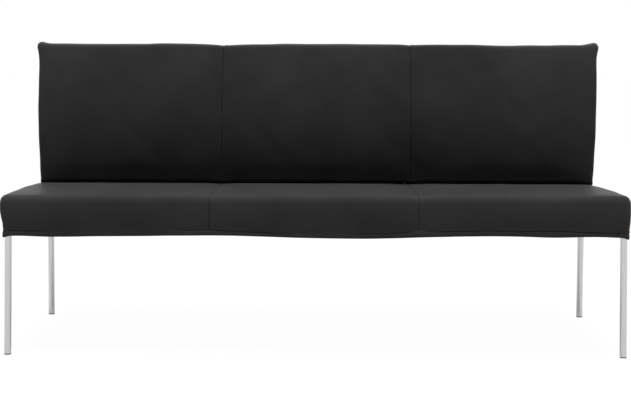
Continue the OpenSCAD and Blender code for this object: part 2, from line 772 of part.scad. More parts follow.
// Padding between the chassis and the leather, one strip along each side
module padding(place) {
    inset = hem_t + fit_gap;
    color(foam) translate([0, 0, rail_z]) linear_extrude(foam_z - rail_z)
        strip_of(place, rail_y0, rail_y1) difference() {
            hem_plan(inset);
            translate([-rail_x, rail_y0]) square([2 * rail_x, rail_y1 - rail_y0]);
            channel_notches(seat_y0 + low_draw + inset);
            channel_notches(seat_y1 - low_draw - inset);
        }
}

module padding_front() { padding("front"); }
module padding_rear() { padding("rear"); }
module padding_left() { padding("left"); }
module padding_right() { padding("right"); }

module seat_side_cover(seam) {
    difference() {
        skin(side_skin(seat_outline, seat_side, seam, seat_ends, 0, 0),
             side_skin(seat_outline, seat_side, seam, seat_ends, leather_t, 0));
        upright_slots(foam_z, seat_h + over);
    }
}

module seat_cover_left() { color(leather) mirror([1, 0, 0]) seat_side_cover(seat_seam_left); }
module seat_cover_right() { color(leather) seat_side_cover(seat_seam_right); }

module seat_cover_centre() {
    color(leather) difference() {
        skin(centre_rows(seat_outline, -seat_seam_left, seat_seam_right, 0),
             centre_rows(seat_outline, -seat_seam_left, seat_seam_right, leather_t));
        upright_slots(foam_z, seat_h + over);
    }
}

// The folded band under the seat's leather, one strip along each side
module hem(place) {
    corner = low_draw + seat_corner_r;
    color(leather) translate([0, 0, hem_h]) linear_extrude(hem_band)
        strip_of(place, seat_y0 + corner, seat_y1 - corner) difference() {
            hem_plan(0);
            hem_plan(hem_t);
        }
}

module hem_front() { hem("front"); }
module hem_rear() { hem("rear"); }
module hem_left() { hem("left"); }
module hem_right() { hem("right"); }

module dust_cloth() {
    x = rail_x - rail_w / 4;
    y0 = rail_y0 + rail_w / 4;
    y1 = rail_y1 - rail_w / 4;
    notch = flange_side - rail_w / 4 + fit_gap;
    color(cloth) translate([0, 0, rail_z - cloth_t]) linear_extrude(cloth_t) {
        translate([-x, y0 + notch]) square([2 * x, y1 - y0 - 2 * notch]);
        translate([-x + notch, y0]) square([2 * (x - notch), y1 - y0]);
    }
}

// Moves its children into the frame that leans with the uprights
module leaning() {
    translate([0, upright_y, bend_z]) rotate([-upright_lean, 0, 0]) children();
}

screw_zs = [for (k = [0:screws_per_upright - 1])
    panel_foot_gap + panel_l * (k + 0.5) / screws_per_upright * (panel_l - top_rail_h) / panel_l];
screw_l = panel_t + upright_t;

module back_upright(x) {
    l = lean_l - top_rail_h;
    side = [[0, rail_z - bend_z], [0, 0], l * [sin(upright_lean), cos(upright_lean)],
            l * [sin(upright_lean), cos(upright_lean)]
                + upright_t * [cos(upright_lean), -sin(upright_lean)],
            [upright_t, -upright_t * tan(upright_lean / 2)], [upright_t, rail_z - bend_z]];
    color(black_steel) difference() {
        translate([x, upright_y, bend_z]) rotate([90, 0, 90])
            linear_extrude(upright_w, center = true) polygon(side);
        for (s = [-1, 1])
            translate([x + s * upright_bolt_pitch / 2, upright_y - over, upright_bolt_z])
                rotate([-90, 0, 0])
                    cylinder(d = upright_bolt_d + 2 * bolt_gap, h = upright_t + 2 * over,
                             $fn = small_fn);
        leaning() for (z = screw_zs) translate([x, -over, z]) rotate([-90, 0, 0])
            cylinder(d = screw_d + 2 * bolt_gap, h = upright_t + 2 * over, $fn = small_fn);
    }
}

module back_upright_left() { back_upright(-upright_x); }
module back_upright_centre() { back_upright(0); }
module back_upright_right() { back_upright(upright_x); }

module back_top_rail() {
    color(black_steel) leaning() translate([-upright_x - upright_w, 0, lean_l - top_rail_h])
        cube([2 * (upright_x + upright_w), upright_t, top_rail_h]);
}

upright_head_h = upright_bolt_d * head_h_share;

module at_upright_bolts(y) {
    for (x = upright_xs, s = [-1, 1])
        translate([x + s * upright_bolt_pitch / 2, y, upright_bolt_z]) rotate([-90, 0, 0]) children();
}

module upright_bolts() {
    color(zinc) at_upright_bolts(upright_y - upright_head_h) {
        cylinder(d = upright_bolt_d * round_head_share, h = upright_head_h, $fn = small_fn);
        translate([0, 0, upright_head_h / 2])
            cylinder(d = upright_bolt_d, h = upright_head_h / 2 + upright_bolt_l, $fn = small_fn);
    }
}

nut_sleeve_d = upright_bolt_d + 2 * sleeve_wall;
nut_sleeve_l = rail_w / 2;

// Threaded sleeves set in the wall of the rear rail
module rivet_nuts() {
    color(zinc) at_upright_bolts(upright_y + upright_t) difference() {
        cylinder(d = nut_sleeve_d, h = nut_sleeve_l, $fn = small_fn);
        translate([0, 0, -over])
            cylinder(d = upright_bolt_d + bolt_gap, h = nut_sleeve_l + 2 * over, $fn = small_fn);
    }
}

module screw_body(gap) {
    head_l = screw_d * head_h_share;
    cylinder(d = screw_d + 2 * gap, h = screw_l + (gap > 0 ? over : 0), $fn = small_fn);
    cylinder(d1 = 2 * screw_d + 2 * gap, d2 = screw_d + 2 * gap, h = head_l, $fn = small_fn);
}

module screw_hole() {
    screw_body(bolt_gap);
    translate([0, 0, -over]) cylinder(d = 2 * screw_d + 2 * bolt_gap, h = over, $fn = small_fn);
}

module at_screws() {
    leaning() for (x = upright_xs, z = screw_zs) translate([x, -panel_t, z])
        rotate([-90, 0, 0]) children();
}

module panel_screws() {
    color(zinc) at_screws() screw_body(0);
}

module back_panel() {
    w = back_w_low - 2 * panel_margin;
    color(wood) difference() {
        leaning() translate([-w / 2, -panel_t, panel_foot_gap]) cube([w, panel_t, panel_l]);
        at_screws() screw_hole();
    }
}

module back_foam_front() {
    color(foam)
        loft(foam_rows(back_foam_front_outline, back_side, back_seam, back_seam, back_ends));
}

module back_foam_rear() {
    color(foam)
        loft(foam_rows(back_foam_rear_outline, back_side, back_seam, back_seam, back_ends));
}

module back_side_cover() {
    skin(side_skin(back_outline, back_side, back_seam, back_ends, 0, ear),
         side_skin(back_outline, back_side, back_seam, back_ends, leather_t, ear));
}

module back_cover_left() { color(leather) mirror([1, 0, 0]) back_side_cover(); }
module back_cover_right() { color(leather) back_side_cover(); }

module back_cover_centre() {
    color(leather)
        skin(centre_rows(back_outline, -back_seam, back_seam, 0),
             centre_rows(back_outline, -back_seam, back_seam, leather_t));
}

// Cloth that closes the back pad's underside between the edges of its leather
module back_underside() {
    y = back_y0 + tuck + fit_gap;
    w = back_t_low - tuck - rear_tuck - 2 * fit_gap;
    half = back_w_low / 2 - 2 * back_edge_r;
    color(cloth) difference() {
        translate([-half, y, underside(y)]) rotate([-atan(foot_slope), 0, 0])
            cube([2 * half, w, cloth_t]);
        upright_slots(foam_z, back_h);
    }
}

front_rail();
rear_rail();
side_rail_left();
side_rail_right();
cross_rail_left();
cross_rail_right();
corner_gussets();
leg_front_left();
leg_front_right();
leg_rear_left();
leg_rear_right();
glide_front_left();
glide_front_right();
glide_rear_left();
glide_rear_right();
leg_plates();
leg_bolts();
leg_nuts();
webbing_cross();
webbing_long();
webbing_clamps();
clamp_rivets();
felt_sheet();
seat_foam();
padding_front();
padding_rear();
padding_left();
padding_right();
seat_cover_left();
seat_cover_centre();
seat_cover_right();
hem_front();
hem_rear();
hem_left();
hem_right();
dust_cloth();
back_upright_left();
back_upright_centre();
back_upright_right();
back_top_rail();
upright_bolts();
rivet_nuts();
back_panel();
panel_screws();
back_foam_front();
back_foam_rear();
back_cover_left();
back_cover_centre();
back_cover_right();
back_underside();
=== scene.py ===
import json
import math

import bpy
import numpy as np
from mathutils import Euler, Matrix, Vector


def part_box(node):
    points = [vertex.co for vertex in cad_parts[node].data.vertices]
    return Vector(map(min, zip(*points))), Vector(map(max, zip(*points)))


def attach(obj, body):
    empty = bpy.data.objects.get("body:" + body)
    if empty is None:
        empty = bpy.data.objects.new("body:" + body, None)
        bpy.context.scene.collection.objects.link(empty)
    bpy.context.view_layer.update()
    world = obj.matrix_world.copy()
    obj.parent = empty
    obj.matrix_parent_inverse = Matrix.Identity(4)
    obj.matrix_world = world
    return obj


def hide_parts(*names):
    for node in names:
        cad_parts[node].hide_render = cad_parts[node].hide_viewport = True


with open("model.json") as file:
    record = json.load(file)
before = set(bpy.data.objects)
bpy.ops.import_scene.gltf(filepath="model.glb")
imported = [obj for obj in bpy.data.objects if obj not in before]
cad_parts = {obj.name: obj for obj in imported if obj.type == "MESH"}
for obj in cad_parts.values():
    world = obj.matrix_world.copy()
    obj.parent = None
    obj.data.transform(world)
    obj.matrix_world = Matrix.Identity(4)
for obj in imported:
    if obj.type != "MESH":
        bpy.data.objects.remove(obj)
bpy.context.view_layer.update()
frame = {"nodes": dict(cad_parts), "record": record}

scene = bpy.context.scene
MM = 0.001
PANELS = ("left", "centre", "right")

# Seat pad, as sizes of its cross section
SEAT_NODES = [f"seat_cover_{panel}" for panel in PANELS]
SEAT_FRONT_H = 0.477
SEAT_DROP = 0.022
SEAT_CROWN = 0.004
SEAT_LOW_DRAW = 0.0057
SEAT_TOP_DRAW = 0.003
SEAT_FRONT_R = 0.026
SEAT_REAR_R = 0.018
SEAT_END_R = 0.018
SEAT_END_SKEW = 0.1
SEAT_BULGE = 3.2 * MM
SEAT_REAR_BULGE = 4.5 * MM
SEAT_TILT = 4.0 * MM
TILT_LOSS = 0.6
END_DROOP = 4.5 * MM
DROOP_FROM_X, DROOP_FADE = 0.87, 0.045
SEAT_SEAMS = (-0.311, 0.299)

# Back pad, as sizes and places of its cross section
BACK_NODES = [f"back_cover_{panel}" for panel in PANELS]
BACK_FOOT_Y = 0.180
FOOT_SINK = 0.8 * MM
BACK_T_LOW = 0.116
BACK_T_HIGH = 0.076
BACK_CROWN = 0.029
BACK_REAR_CROWN = 0.003
BACK_EDGE_R = 0.017
BACK_END_R = 0.011
# Half length of the back at a few heights, left and right
BACK_ENDS = {-1: [(0.46, 0.912), (0.50, 0.9145), (0.57, 0.916), (0.70, 0.921), (0.80, 0.9225),
                  (0.87, 0.927), (0.90, 0.931)],
             1: [(0.46, 0.915), (0.50, 0.9175), (0.57, 0.920), (0.70, 0.9245), (0.80, 0.9295),
                 (0.87, 0.9325), (0.90, 0.935)]}
BACK_TOP_DROP = 1.0 * MM
BACK_TOP_CROWN = 2.0 * MM
BACK_TUCK = 0.030
BACK_REAR_TUCK = 0.020
BACK_SEAMS = (-0.312, 0.312)

# The press of the back into the seat: its depth, its lead ahead of the foot, and its fades
PRESS_D = 1.5 * MM
PRESS_LEAD, PRESS_FADE = 0.012, 0.022
PRESS_FROM_Z, PRESS_RISE = 0.43, 0.01
FOOT_FIT_H, FOOT_FIT_FADE = 0.01, 0.04

# Leather and its seams
LEATHER_T = 1.4 * MM
VALLEY_D = 3.2 * MM
VALLEY_W = 0.075
ROLL_R = 2.6 * MM
LIP_D = 6.0 * MM
LIP_GAP = 0.15 * MM
ALLOWANCE_W = 9.0 * MM
ALLOWANCE_H = 0.9 * MM
ALLOWANCE_START, ALLOWANCE_FADE = 1.2 * MM, 7.0 * MM
GATHER_H, GATHER_W = 0.42 * MM, 13.0 * MM
UNEVEN_H = 0.55 * MM
WALL_FADE = 0.02

# Rows of stitches, and the furrow that each row draws
STITCH_SET = 4.6 * MM
STITCH_PITCH = 5.0 * MM
STITCH_L = 3.9 * MM
STITCH_R = 0.38 * MM
STITCH_ARCH, STITCH_DEEP = 0.55 * MM, 0.35 * MM
STITCH_RINGS, STITCH_SIDES = 5, 6
STITCH_END = 0.01
FURROW_D, FURROW_W = 0.45 * MM, 0.9 * MM

# Settling of the leather by a cloth simulation, and the furthest that it moves
SETTLING = {"vertex_group_mass": "held", "quality": 6, "mass": 0.35, "tension_stiffness": 30,
            "compression_stiffness": 30, "shear_stiffness": 15, "bending_stiffness": 2,
            "use_pressure": True, "uniform_pressure_force": 0.06}
SETTLE_FRAMES = 20
HELD_ROWS = 4
SEAT_CAP, BACK_CAP, IN_CAP = 5.0 * MM, 6.0 * MM, 1.6 * MM
SLIDE_CAP = 1.5 * MM

# How far from their contact seat and back are held still, and the share of their forms left
SEAT_HOLD_LEAD, SEAT_HOLD_FADE = 0.060, 0.045
BACK_HOLD_H, BACK_HOLD_FADE = 0.022, 0.050
CONTACT_SHARE = 0.2

# Mesh spacing of the pads on flat parts, beside seams, at the end edges and for settling
FLAT_STEP = 8.0 * MM
SEAM_STEP, SEAM_WIDEN = 0.5 * MM, 0.2
EDGE_STEP, EDGE_WIDEN = 2.5 * MM, 0.25
TURN_STEPS = 6.5
COARSE_STEP, COARSE_SEAM_STEP, COARSE_LINE_STEP = 11.0 * MM, 9.0 * MM, 12.0 * MM
WALL_ROWS = 12
WALL_W = 0.055

# Fineness of the outlines, and the blur that eases their corners
FINE_PLACES = 4000
LINE_PLACES, ARC_PLACES = 200, 24
BLUR_REACH, BLUR_W = 12, 4.0
# How far an outline has to face down to rest flat, and up to count as the top
REST_SLOPE, TOP_SLOPE = 1.4, 0.7


def merged_box(names):
    """Lowest and highest corner of several CAD nodes."""
    boxes = [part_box(n) for n in names]
    lo = Vector([min(b[0][k] for b in boxes) for k in range(3)])
    hi = Vector([max(b[1][k] for b in boxes) for k in range(3)])
    return lo, hi


seat_lo, seat_hi = merged_box(SEAT_NODES)
back_lo, back_hi = merged_box(BACK_NODES)
hem_lo, hem_hi = merged_box(["hem_front", "hem_rear", "hem_left", "hem_right"])


def smooth_step(t):
    """An even passage from 0 to 1."""
    t = np.clip(t, 0, 1)
    return t * t * (3 - 2 * t)


def cubic_along(a, v, b):
    """Values v at the places a, read at the places b with a smooth curve."""
    a, v, b = (np.asarray(values, float) for values in (a, v, b))
    k = np.clip(np.searchsorted(a, b) - 1, 0, len(a) - 2)
    slope = np.gradient(v, a, axis=0)
    h = a[k + 1] - a[k]
    s = np.clip((b - a[k]) / h, 0, 1)
    shape = (-1,) + (1,) * (v.ndim - 1)
    s, h = s.reshape(shape), h.reshape(shape)
    return ((2 * s**3 - 3 * s**2 + 1) * v[k] + (s**3 - 2 * s**2 + s) * h * slope[k]
            + (3 * s**2 - 2 * s**3) * v[k + 1] + (s**3 - s**2) * h * slope[k + 1])


def wave(points, x):
    """A smooth line through a few chosen (place in m, rise in mm) points, in metres."""
    a, v = np.array(points, float).T
    return cubic_along(a, v * MM, x.ravel()).reshape(x.shape)


def ripple(x, low, high, count, seed):
    """A seeded sum of waves with lengths from low to high, between about -1 and 1."""
    r = np.random.default_rng(seed)
    total = np.zeros_like(x)
    for _ in range(count):
        length = low * (high / low) ** r.random()
        total += np.sin(2 * np.pi * (x / length + r.random())) * (0.6 + 0.8 * r.random())
    return total / count**0.5


def unevenness(points, low, high, count, seed):
    """A seeded smooth field in space, between about -1 and 1."""
    r = np.random.default_rng(seed)
    total = np.zeros(points.shape[:-1])
    for _ in range(count):
        length = low * (high / low) ** r.random()
        direction = r.normal(size=3)
        direction /= np.linalg.norm(direction)
        total += np.sin(2 * np.pi * (points @ direction / length + r.random()))
    return total / count**0.5


def graded(a, b, spacing):
    """Places from a to b whose spacing follows a function of the place."""
    fine = np.linspace(a, b, FINE_PLACES)
    between = (fine[1:] + fine[:-1]) / 2
    count = np.concatenate([[0], np.cumsum((fine[1] - fine[0]) / spacing(between))])
    steps = max(2, int(round(count[-1])))
    return np.interp(np.linspace(0, count[-1], steps + 1), count, fine)


def unit(v):
    """Directions of length one."""
    return v / np.maximum(np.linalg.norm(v, axis=-1), 1e-12)[..., None]


def read_at(places, along, table):
    """The columns of a table of places along a line, read at other places."""
    return np.stack([np.interp(places, along, column) for column in table.T], 1)


def rounded_outline(corners, radii, bulges):
    """Dense places and outward directions along a rounded outline in the (y, z) plane."""
    corners = [np.array(c, float) for c in corners]
    last = len(corners) - 1
    way = [corners[k + 1] - corners[k] for k in range(last)]
    way = [w / np.linalg.norm(w) for w in way]
    turn = [0.0] + [math.acos(np.clip(way[k - 1] @ way[k], -1, 1)) for k in range(1, last)] + [0.0]
    cut = [radii[k] * math.tan(turn[k] / 2) for k in range(last + 1)]
    line = []
    for k in range(last):
        a, b = corners[k] + way[k] * cut[k], corners[k + 1] - way[k] * cut[k + 1]
        out = np.array([-way[k][1], way[k][0]])
        s = np.linspace(0, 1, LINE_PLACES)[:, None]
        line.append(a + (b - a) * s + out * bulges[k] * 4 * s * (1 - s))
        if k < last - 1:
            angle = turn[k + 1] * np.linspace(0, 1, ARC_PLACES)[1:-1]
            n = np.stack([out[0] * np.cos(angle) + out[1] * np.sin(angle),
                          out[1] * np.cos(angle) - out[0] * np.sin(angle)], 1)
            line.append(b + (n - out) * radii[k + 1])
    line = np.concatenate(line)
    s = np.concatenate([[0], np.cumsum(np.linalg.norm(np.diff(line, axis=0), axis=1))])
    even = np.linspace(0, s[-1], int(s[-1] / MM))
    line = read_at(even, s, line)
    kernel = np.exp(-0.5 * (np.arange(-BLUR_REACH, BLUR_REACH + 1) / BLUR_W) ** 2)
    kernel /= kernel.sum()
    before = 2 * line[0] - line[BLUR_REACH:0:-1]
    after = 2 * line[-1] - line[-2:-BLUR_REACH - 2:-1]
    ends = np.concatenate([before, line, after])
    line = np.stack([np.convolve(ends[:, k], kernel, "valid") for k in (0, 1)], 1)
    step = unit(np.gradient(line, axis=0))
    return {"s": even, "place": line, "out": np.stack([-step[:, 1], step[:, 0]], 1)}


def outline_steps(outline, flat):
    """Places along an outline, closer together where it turns."""
    turned = np.linalg.norm(np.gradient(outline["out"], outline["s"], axis=0), axis=1)
    return graded(0, outline["s"][-1],
                  lambda s: 1 / (1 / flat + TURN_STEPS * np.interp(s, outline["s"], turned)))


def valley(d):
    """Depth of the soft valley at distance d from a seam."""
    return VALLEY_D * np.clip(1 - np.abs(d) / VALLEY_W, 0, 1) ** 2.5


class Pad:
    """A box pad of leather: an outline swept along x, with rounded ends and end walls.

    A place on it has a coordinate across, which is x on the face and runs on over the end
    edge and down the end wall, and a coordinate s along the outline.
    """

    def __init__(self, outline, end_r, skew, seams, half, shape_extra, free):
        self.outline, self.end_r, self.skew, self.seams = outline, end_r, skew, seams
        self.half, self.shape_extra, self.free = half, shape_extra, free
        self.face_half = float(half(outline["place"][:, 1], 1).mean()) - end_r
        self.edge = end_r * math.pi / 2
        self.reach = self.face_half + self.edge + WALL_W

    def across_steps(self, flat, seam_step):
        """Coordinates across the whole pad, as one list for each panel between seams."""
        def spacing(a):
            d = np.min([np.abs(a - s) for s in self.seams], axis=0)
            near_edge = np.abs(np.abs(a) - self.face_half)
            step = np.minimum(flat, seam_step + SEAM_WIDEN * d)
            return np.minimum(step, EDGE_STEP + EDGE_WIDEN * near_edge)

        stops = [-self.face_half - self.edge, *self.seams, self.face_half + self.edge]
        parts = [graded(a, b, spacing) for a, b in zip(stops, stops[1:])]
        wall = np.linspace(0, WALL_W, WALL_ROWS + 1)[1:]
        parts[0] = np.concatenate([stops[0] - wall[::-1], parts[0]])
        parts[-1] = np.concatenate([parts[-1], stops[-1] + wall])
        return parts

    def points(self, across, s):
        """Places on the pad before its small forms."""
        o = self.outline
        flat_place = read_at(s, o["s"], o["place"])
        out = read_at(s, o["s"], o["out"])
        share = (s / o["s"][-1])[None, :]
        a = np.asarray(across)[:, None]
        side = np.sign(a)
        angle = np.clip((np.abs(a) - self.face_half) / self.end_r, 0, math.pi / 2)
        down = np.clip((np.abs(a) - self.face_half - self.edge) / WALL_W, 0, 1)
        r = self.end_r * (1 + side * self.skew)
        rests = smooth_step(-REST_SLOPE * out[None, :, 1])
        drawn_in = sum(valley(a - seam) for seam in self.seams)
        sink = (r * (1 - np.cos(angle)) + drawn_in) * (1 - rests)
        y = flat_place[None, :, 0] - out[None, :, 0] * sink
        z = flat_place[None, :, 1] - out[None, :, 1] * sink
        low_y = flat_place[0, 0] + (flat_place[-1, 0] - flat_place[0, 0]) * share
        low_z = flat_place[0, 1] + (flat_place[-1, 1] - flat_place[0, 1]) * share
        y, z = y + (low_y - y) * down, z + (low_z - z) * down
        half = np.where(side < 0, self.half(z, -1), self.half(z, 1))
        face = np.minimum(np.abs(a), self.face_half)
        seam = np.where(side < 0, abs(self.seams[0]), self.seams[-1])
        outer = seam + (half - r - seam) * (face - seam) / (self.face_half - seam)
        x = side * (np.where(face > seam, outer, face) + r * np.sin(angle))
        p = np.stack(np.broadcast_arrays(x, y, z), -1)
        return self.shape_extra(p)

    def normals(self, p):
        """Outward directions of a grid of places."""
        du = np.gradient(p, axis=0)
        dv = np.gradient(p, axis=1)
        return -unit(np.cross(dv, du))


# How far each end of the seat stands out past its hem, in mm, at shares of the seat's height
END_SWELL = {-1: [(0, -2.6), (0.11, -0.2), (0.22, 2.6), (0.35, 5.4), (0.49, 8.2), (0.66, 10),
                  (0.8, 9.6), (1, 8.6)],
             1: [(0, 0), (0.15, 2.1), (0.3, 3.8), (0.5, 5.2), (0.7, 5.6), (1, 5.2)]}


def seat_half(z, side):
    """Half of the seat's length at a height."""
    t = np.clip((z - seat_lo.z) / (SEAT_FRONT_H - seat_lo.z), 0, 1)
    return seat_hi.x - SEAT_LOW_DRAW + wave(END_SWELL[side], t)


def back_half(z, side):
    """Half of the back's length at a height."""
    places, halves = np.array(BACK_ENDS[side]).T
    return cubic_along(places, halves, z.ravel()).reshape(z.shape)


def depth_share(y):
    """Share of the seat's depth in front of a place."""
    return np.clip((y - seat_lo.y) / (seat_hi.y - seat_lo.y), 0, 1)


def end_droop(x, y):
    """How far the seat's upper surface falls towards its ends."""
    near_end = smooth_step((np.abs(x) - DROOP_FROM_X) / DROOP_FADE)
    return END_DROOP * depth_share(y) ** 3 * near_end


def seat_tilt(x, y):
    """Rise of the seat's upper surface from left to right, less towards the back."""
    return SEAT_TILT * x / seat_hi.x * (1 - TILT_LOSS * depth_share(y))


# Rise of the back's top edge along its length, in mm, and the height above which it shows
TOP_WAVE = [(-0.94, -1.5), (-0.88, -3), (-0.66, -4.5), (-0.46, -0.6), (-0.34, -3.6), (-0.10, -1.2),
            (0.30, 0.6), (0.48, 0.2), (0.62, -2.4), (0.76, -0.4), (0.88, 2.0), (0.94, 2.0)]
TOP_WAVE_FROM_Z, TOP_WAVE_FADE = 0.78, 0.12

# Ears at the upper corners: how far the tip stands up and the side stands out
EARS = {-1: {"up": 7.0 * MM, "out": 8.0 * MM, "along": 0.034, "sharp": 1.3},
        1: {"up": 10.0 * MM, "out": 11.0 * MM, "along": 0.050, "sharp": 1.4}}
EAR_TIP_H = 0.022
EAR_SIDE_DROP = 0.010
EAR_SIDE_H = 0.021
EAR_DEPTH = 0.040

# Rise of the line above the hem along the front, in mm, and how deep the line is there
HEM_LINE_WAVE = [(-0.92, -1), (-0.60, 0), (-0.30, 3), (-0.20, -1), (0.26, -1), (0.36, 3),
                 (0.85, 2.5), (0.92, 0)]
HEM_LINE_DEPTH = [(-0.91, 0.1), (-0.87, 1), (-0.81, 1), (-0.78, 0.4), (-0.36, 0.5), (-0.28, 1),
                  (-0.24, 0.5), (-0.19, 1), (-0.10, 0.3), (0.18, 0.2), (0.25, 0.7), (0.31, 0.2),
                  (0.36, 1), (0.45, 1), (0.48, 0.3), (0.53, 0.8), (0.59, 0.3), (0.65, 1),
                  (0.86, 1), (0.90, 0.1)]
HEM_LINE_END, HEM_LINE_TURN = 0.91, 0.06


def hem_line(x, y):
    """Rise of the line above the hem, and the share of its full depth, round the seat."""
    ahead = 1 - smooth_step((y - seat_lo.y) / HEM_LINE_TURN)
    along = np.clip(x, -HEM_LINE_END, HEM_LINE_END)
    rise = wave(HEM_LINE_WAVE, along)
    depth = wave(HEM_LINE_DEPTH, along) / MM
    rise_behind = 2.0 * MM * ripple(x - 1.3 * y, 0.25, 0.6, count=4, seed=61)
    depth_behind = 0.55 + 0.45 * ripple(x + 1.6 * y, 0.15, 0.5, count=5, seed=62)
    return (rise * ahead + rise_behind * (1 - ahead),
            np.clip(depth * ahead + depth_behind * (1 - ahead), 0, 1))


def seat_extra(p):
    """The seat's tilt, its fall at the ends, the press of the back and the lower edge's wave."""
    x, y, z = np.moveaxis(p, -1, 0)
    share = np.clip((z - seat_lo.z) / (SEAT_FRONT_H - seat_lo.z), 0, 1)
    behind_foot = smooth_step((y - BACK_FOOT_Y + PRESS_LEAD) / PRESS_FADE)
    under_back = behind_foot * smooth_step((z - PRESS_FROM_Z) / PRESS_RISE)
    rise, _ = hem_line(x, y)
    z = z + seat_tilt(x, y) * share - end_droop(x, y) * share ** 4
    z = z - PRESS_D * under_back + rise * (1 - share) ** 6
    return np.stack([x, y, z], -1)


def back_extra(p):
    """Waves of the top edge, the fit of the foot to the seat, and the pulled upper corners."""
    x, y, z = np.moveaxis(p, -1, 0)
    high = smooth_step((z - TOP_WAVE_FROM_Z) / TOP_WAVE_FADE)
    up = np.clip((z - back_lo.z) / (back_hi.z - back_lo.z), 0, 1)
    foot = 1 - smooth_step((z - back_lo.z - FOOT_FIT_H) / FOOT_FIT_FADE)
    z = z + wave(TOP_WAVE, x) * high
    z = z + seat_tilt(x, y) * (1 - up) - end_droop(x, y) * foot
    top, middle = back_hi.z - BACK_TOP_DROP, back_hi.y - BACK_T_HIGH / 2
    for side, ear in EARS.items():
        half = BACK_ENDS[side][-1][1]
        along = np.clip((half - side * x) / ear["along"], 0, 1)
        deep = np.clip(np.abs(y - middle) / EAR_DEPTH, 0, 1) ** 2
        here = (1 - deep) * (side * x > 0)
        tip = ((1 - along) * (1 - np.clip((top - z) / EAR_TIP_H, 0, 1))) ** ear["sharp"]
        beside = 1 - np.clip(np.abs(top - EAR_SIDE_DROP - z) / EAR_SIDE_H, 0, 1) ** 1.5
        side_bump = (1 - along) ** 2 * beside
        x = x + side * ear["out"] * side_bump * here
        z = z + ear["up"] * tip * here
    return np.stack([x, y, z], -1)


def seat_free(p):
    """How freely the seat's leather moves: not at all where the back stands on it."""
    return 1 - smooth_step((p[..., 1] - BACK_FOOT_Y + SEAT_HOLD_LEAD) / SEAT_HOLD_FADE)


def back_free(p):
    """How freely the back's leather moves: not at all along its foot."""
    return smooth_step((p[..., 2] - back_lo.z - BACK_HOLD_H) / BACK_HOLD_FADE)


seat_outline = rounded_outline(
    [(seat_lo.y + SEAT_LOW_DRAW, seat_lo.z), (seat_lo.y + SEAT_TOP_DRAW, SEAT_FRONT_H),
     (seat_hi.y - SEAT_TOP_DRAW, SEAT_FRONT_H - SEAT_DROP), (seat_hi.y - SEAT_LOW_DRAW, seat_lo.z)],
    [0, SEAT_FRONT_R, SEAT_REAR_R, 0], [SEAT_BULGE, SEAT_CROWN, SEAT_REAR_BULGE])


def seat_top_z(y):
    """Height of the seat's upper surface, where the back presses it."""
    upper = seat_outline["out"][:, 1] > TOP_SLOPE
    return float(np.interp(y, *seat_outline["place"][upper].T)) - PRESS_D


back_foot = np.array([BACK_FOOT_Y, seat_top_z(BACK_FOOT_Y) - FOOT_SINK])
back_heel = np.array([BACK_FOOT_Y + BACK_T_LOW, seat_top_z(seat_hi.y - SEAT_REAR_R)])
underside = (back_heel - back_foot) / BACK_T_LOW
back_outline = rounded_outline(
    [back_foot + underside * BACK_TUCK, back_foot,
     (back_hi.y - BACK_T_HIGH, back_hi.z - BACK_TOP_DROP), (back_hi.y, back_hi.z - BACK_TOP_DROP),
     back_heel, back_heel - underside * BACK_REAR_TUCK],
    [0, BACK_EDGE_R, BACK_EDGE_R, BACK_EDGE_R, BACK_EDGE_R, 0],
    [0, BACK_CROWN, BACK_TOP_CROWN, BACK_REAR_CROWN, 0])

seat_pad = Pad(seat_outline, SEAT_END_R, SEAT_END_SKEW, SEAT_SEAMS, seat_half, seat_extra,
               seat_free)
back_pad = Pad(back_outline, BACK_END_R, 0.0, BACK_SEAMS, back_half, back_extra, back_free)


def grid_faces(rows, cols):
    """Faces of an open grid of places."""
    i, j = np.meshgrid(np.arange(rows - 1), np.arange(cols - 1), indexing="ij")
    a = (i * cols + j).ravel()
    return np.stack([a, a + 1, a + cols + 1, a + cols], 1)


def loop_faces(rows, cols, base=0):
    """Faces of a grid closed in both directions, which comes after base places of a mesh."""
    i, j = np.meshgrid(np.arange(rows), np.arange(cols), indexing="ij")
    under, right = (i + 1) % rows, (j + 1) % cols
    corners = (i * cols + j, i * cols + right, under * cols + right, under * cols + j)
    return (base + np.stack([c.ravel() for c in corners], 1)).tolist()


def mesh_object(name, points, faces, material=None):
    """A smooth object from places and faces."""
    mesh = bpy.data.meshes.new(name)
    faces = faces.tolist() if isinstance(faces, np.ndarray) else faces
    mesh.from_pydata(np.asarray(points, float).reshape(-1, 3).tolist(), [], faces)
    mesh.shade_smooth()
    obj = bpy.data.objects.new(name, mesh)
    scene.collection.objects.link(obj)
    if material:
        obj.data.materials.append(material)
    return obj


def thicken(sheet, thickness, offset):
    """Gives a sheet of faces its thickness, on the side that the offset's sign says."""
    shell = sheet.modifiers.new("thickness", "SOLIDIFY")
    shell.thickness = thickness
    shell.offset = offset


def add_tube(verts, faces, rings):
    """Adds a closed tube through rings of places to the lists of a mesh."""
    base, sides = len(verts), len(rings[0])
    for ring in rings:
        verts.extend(ring)
    for i in range(len(rings) - 1):
        for j in range(sides):
            a, b = base + i * sides + j, base + i * sides + (j + 1) % sides
            faces.append([a, b, b + sides, a + sides])
    faces.append([base + j for j in reversed(range(sides))])
    faces.append([base + (len(rings) - 1) * sides + j for j in range(sides)])


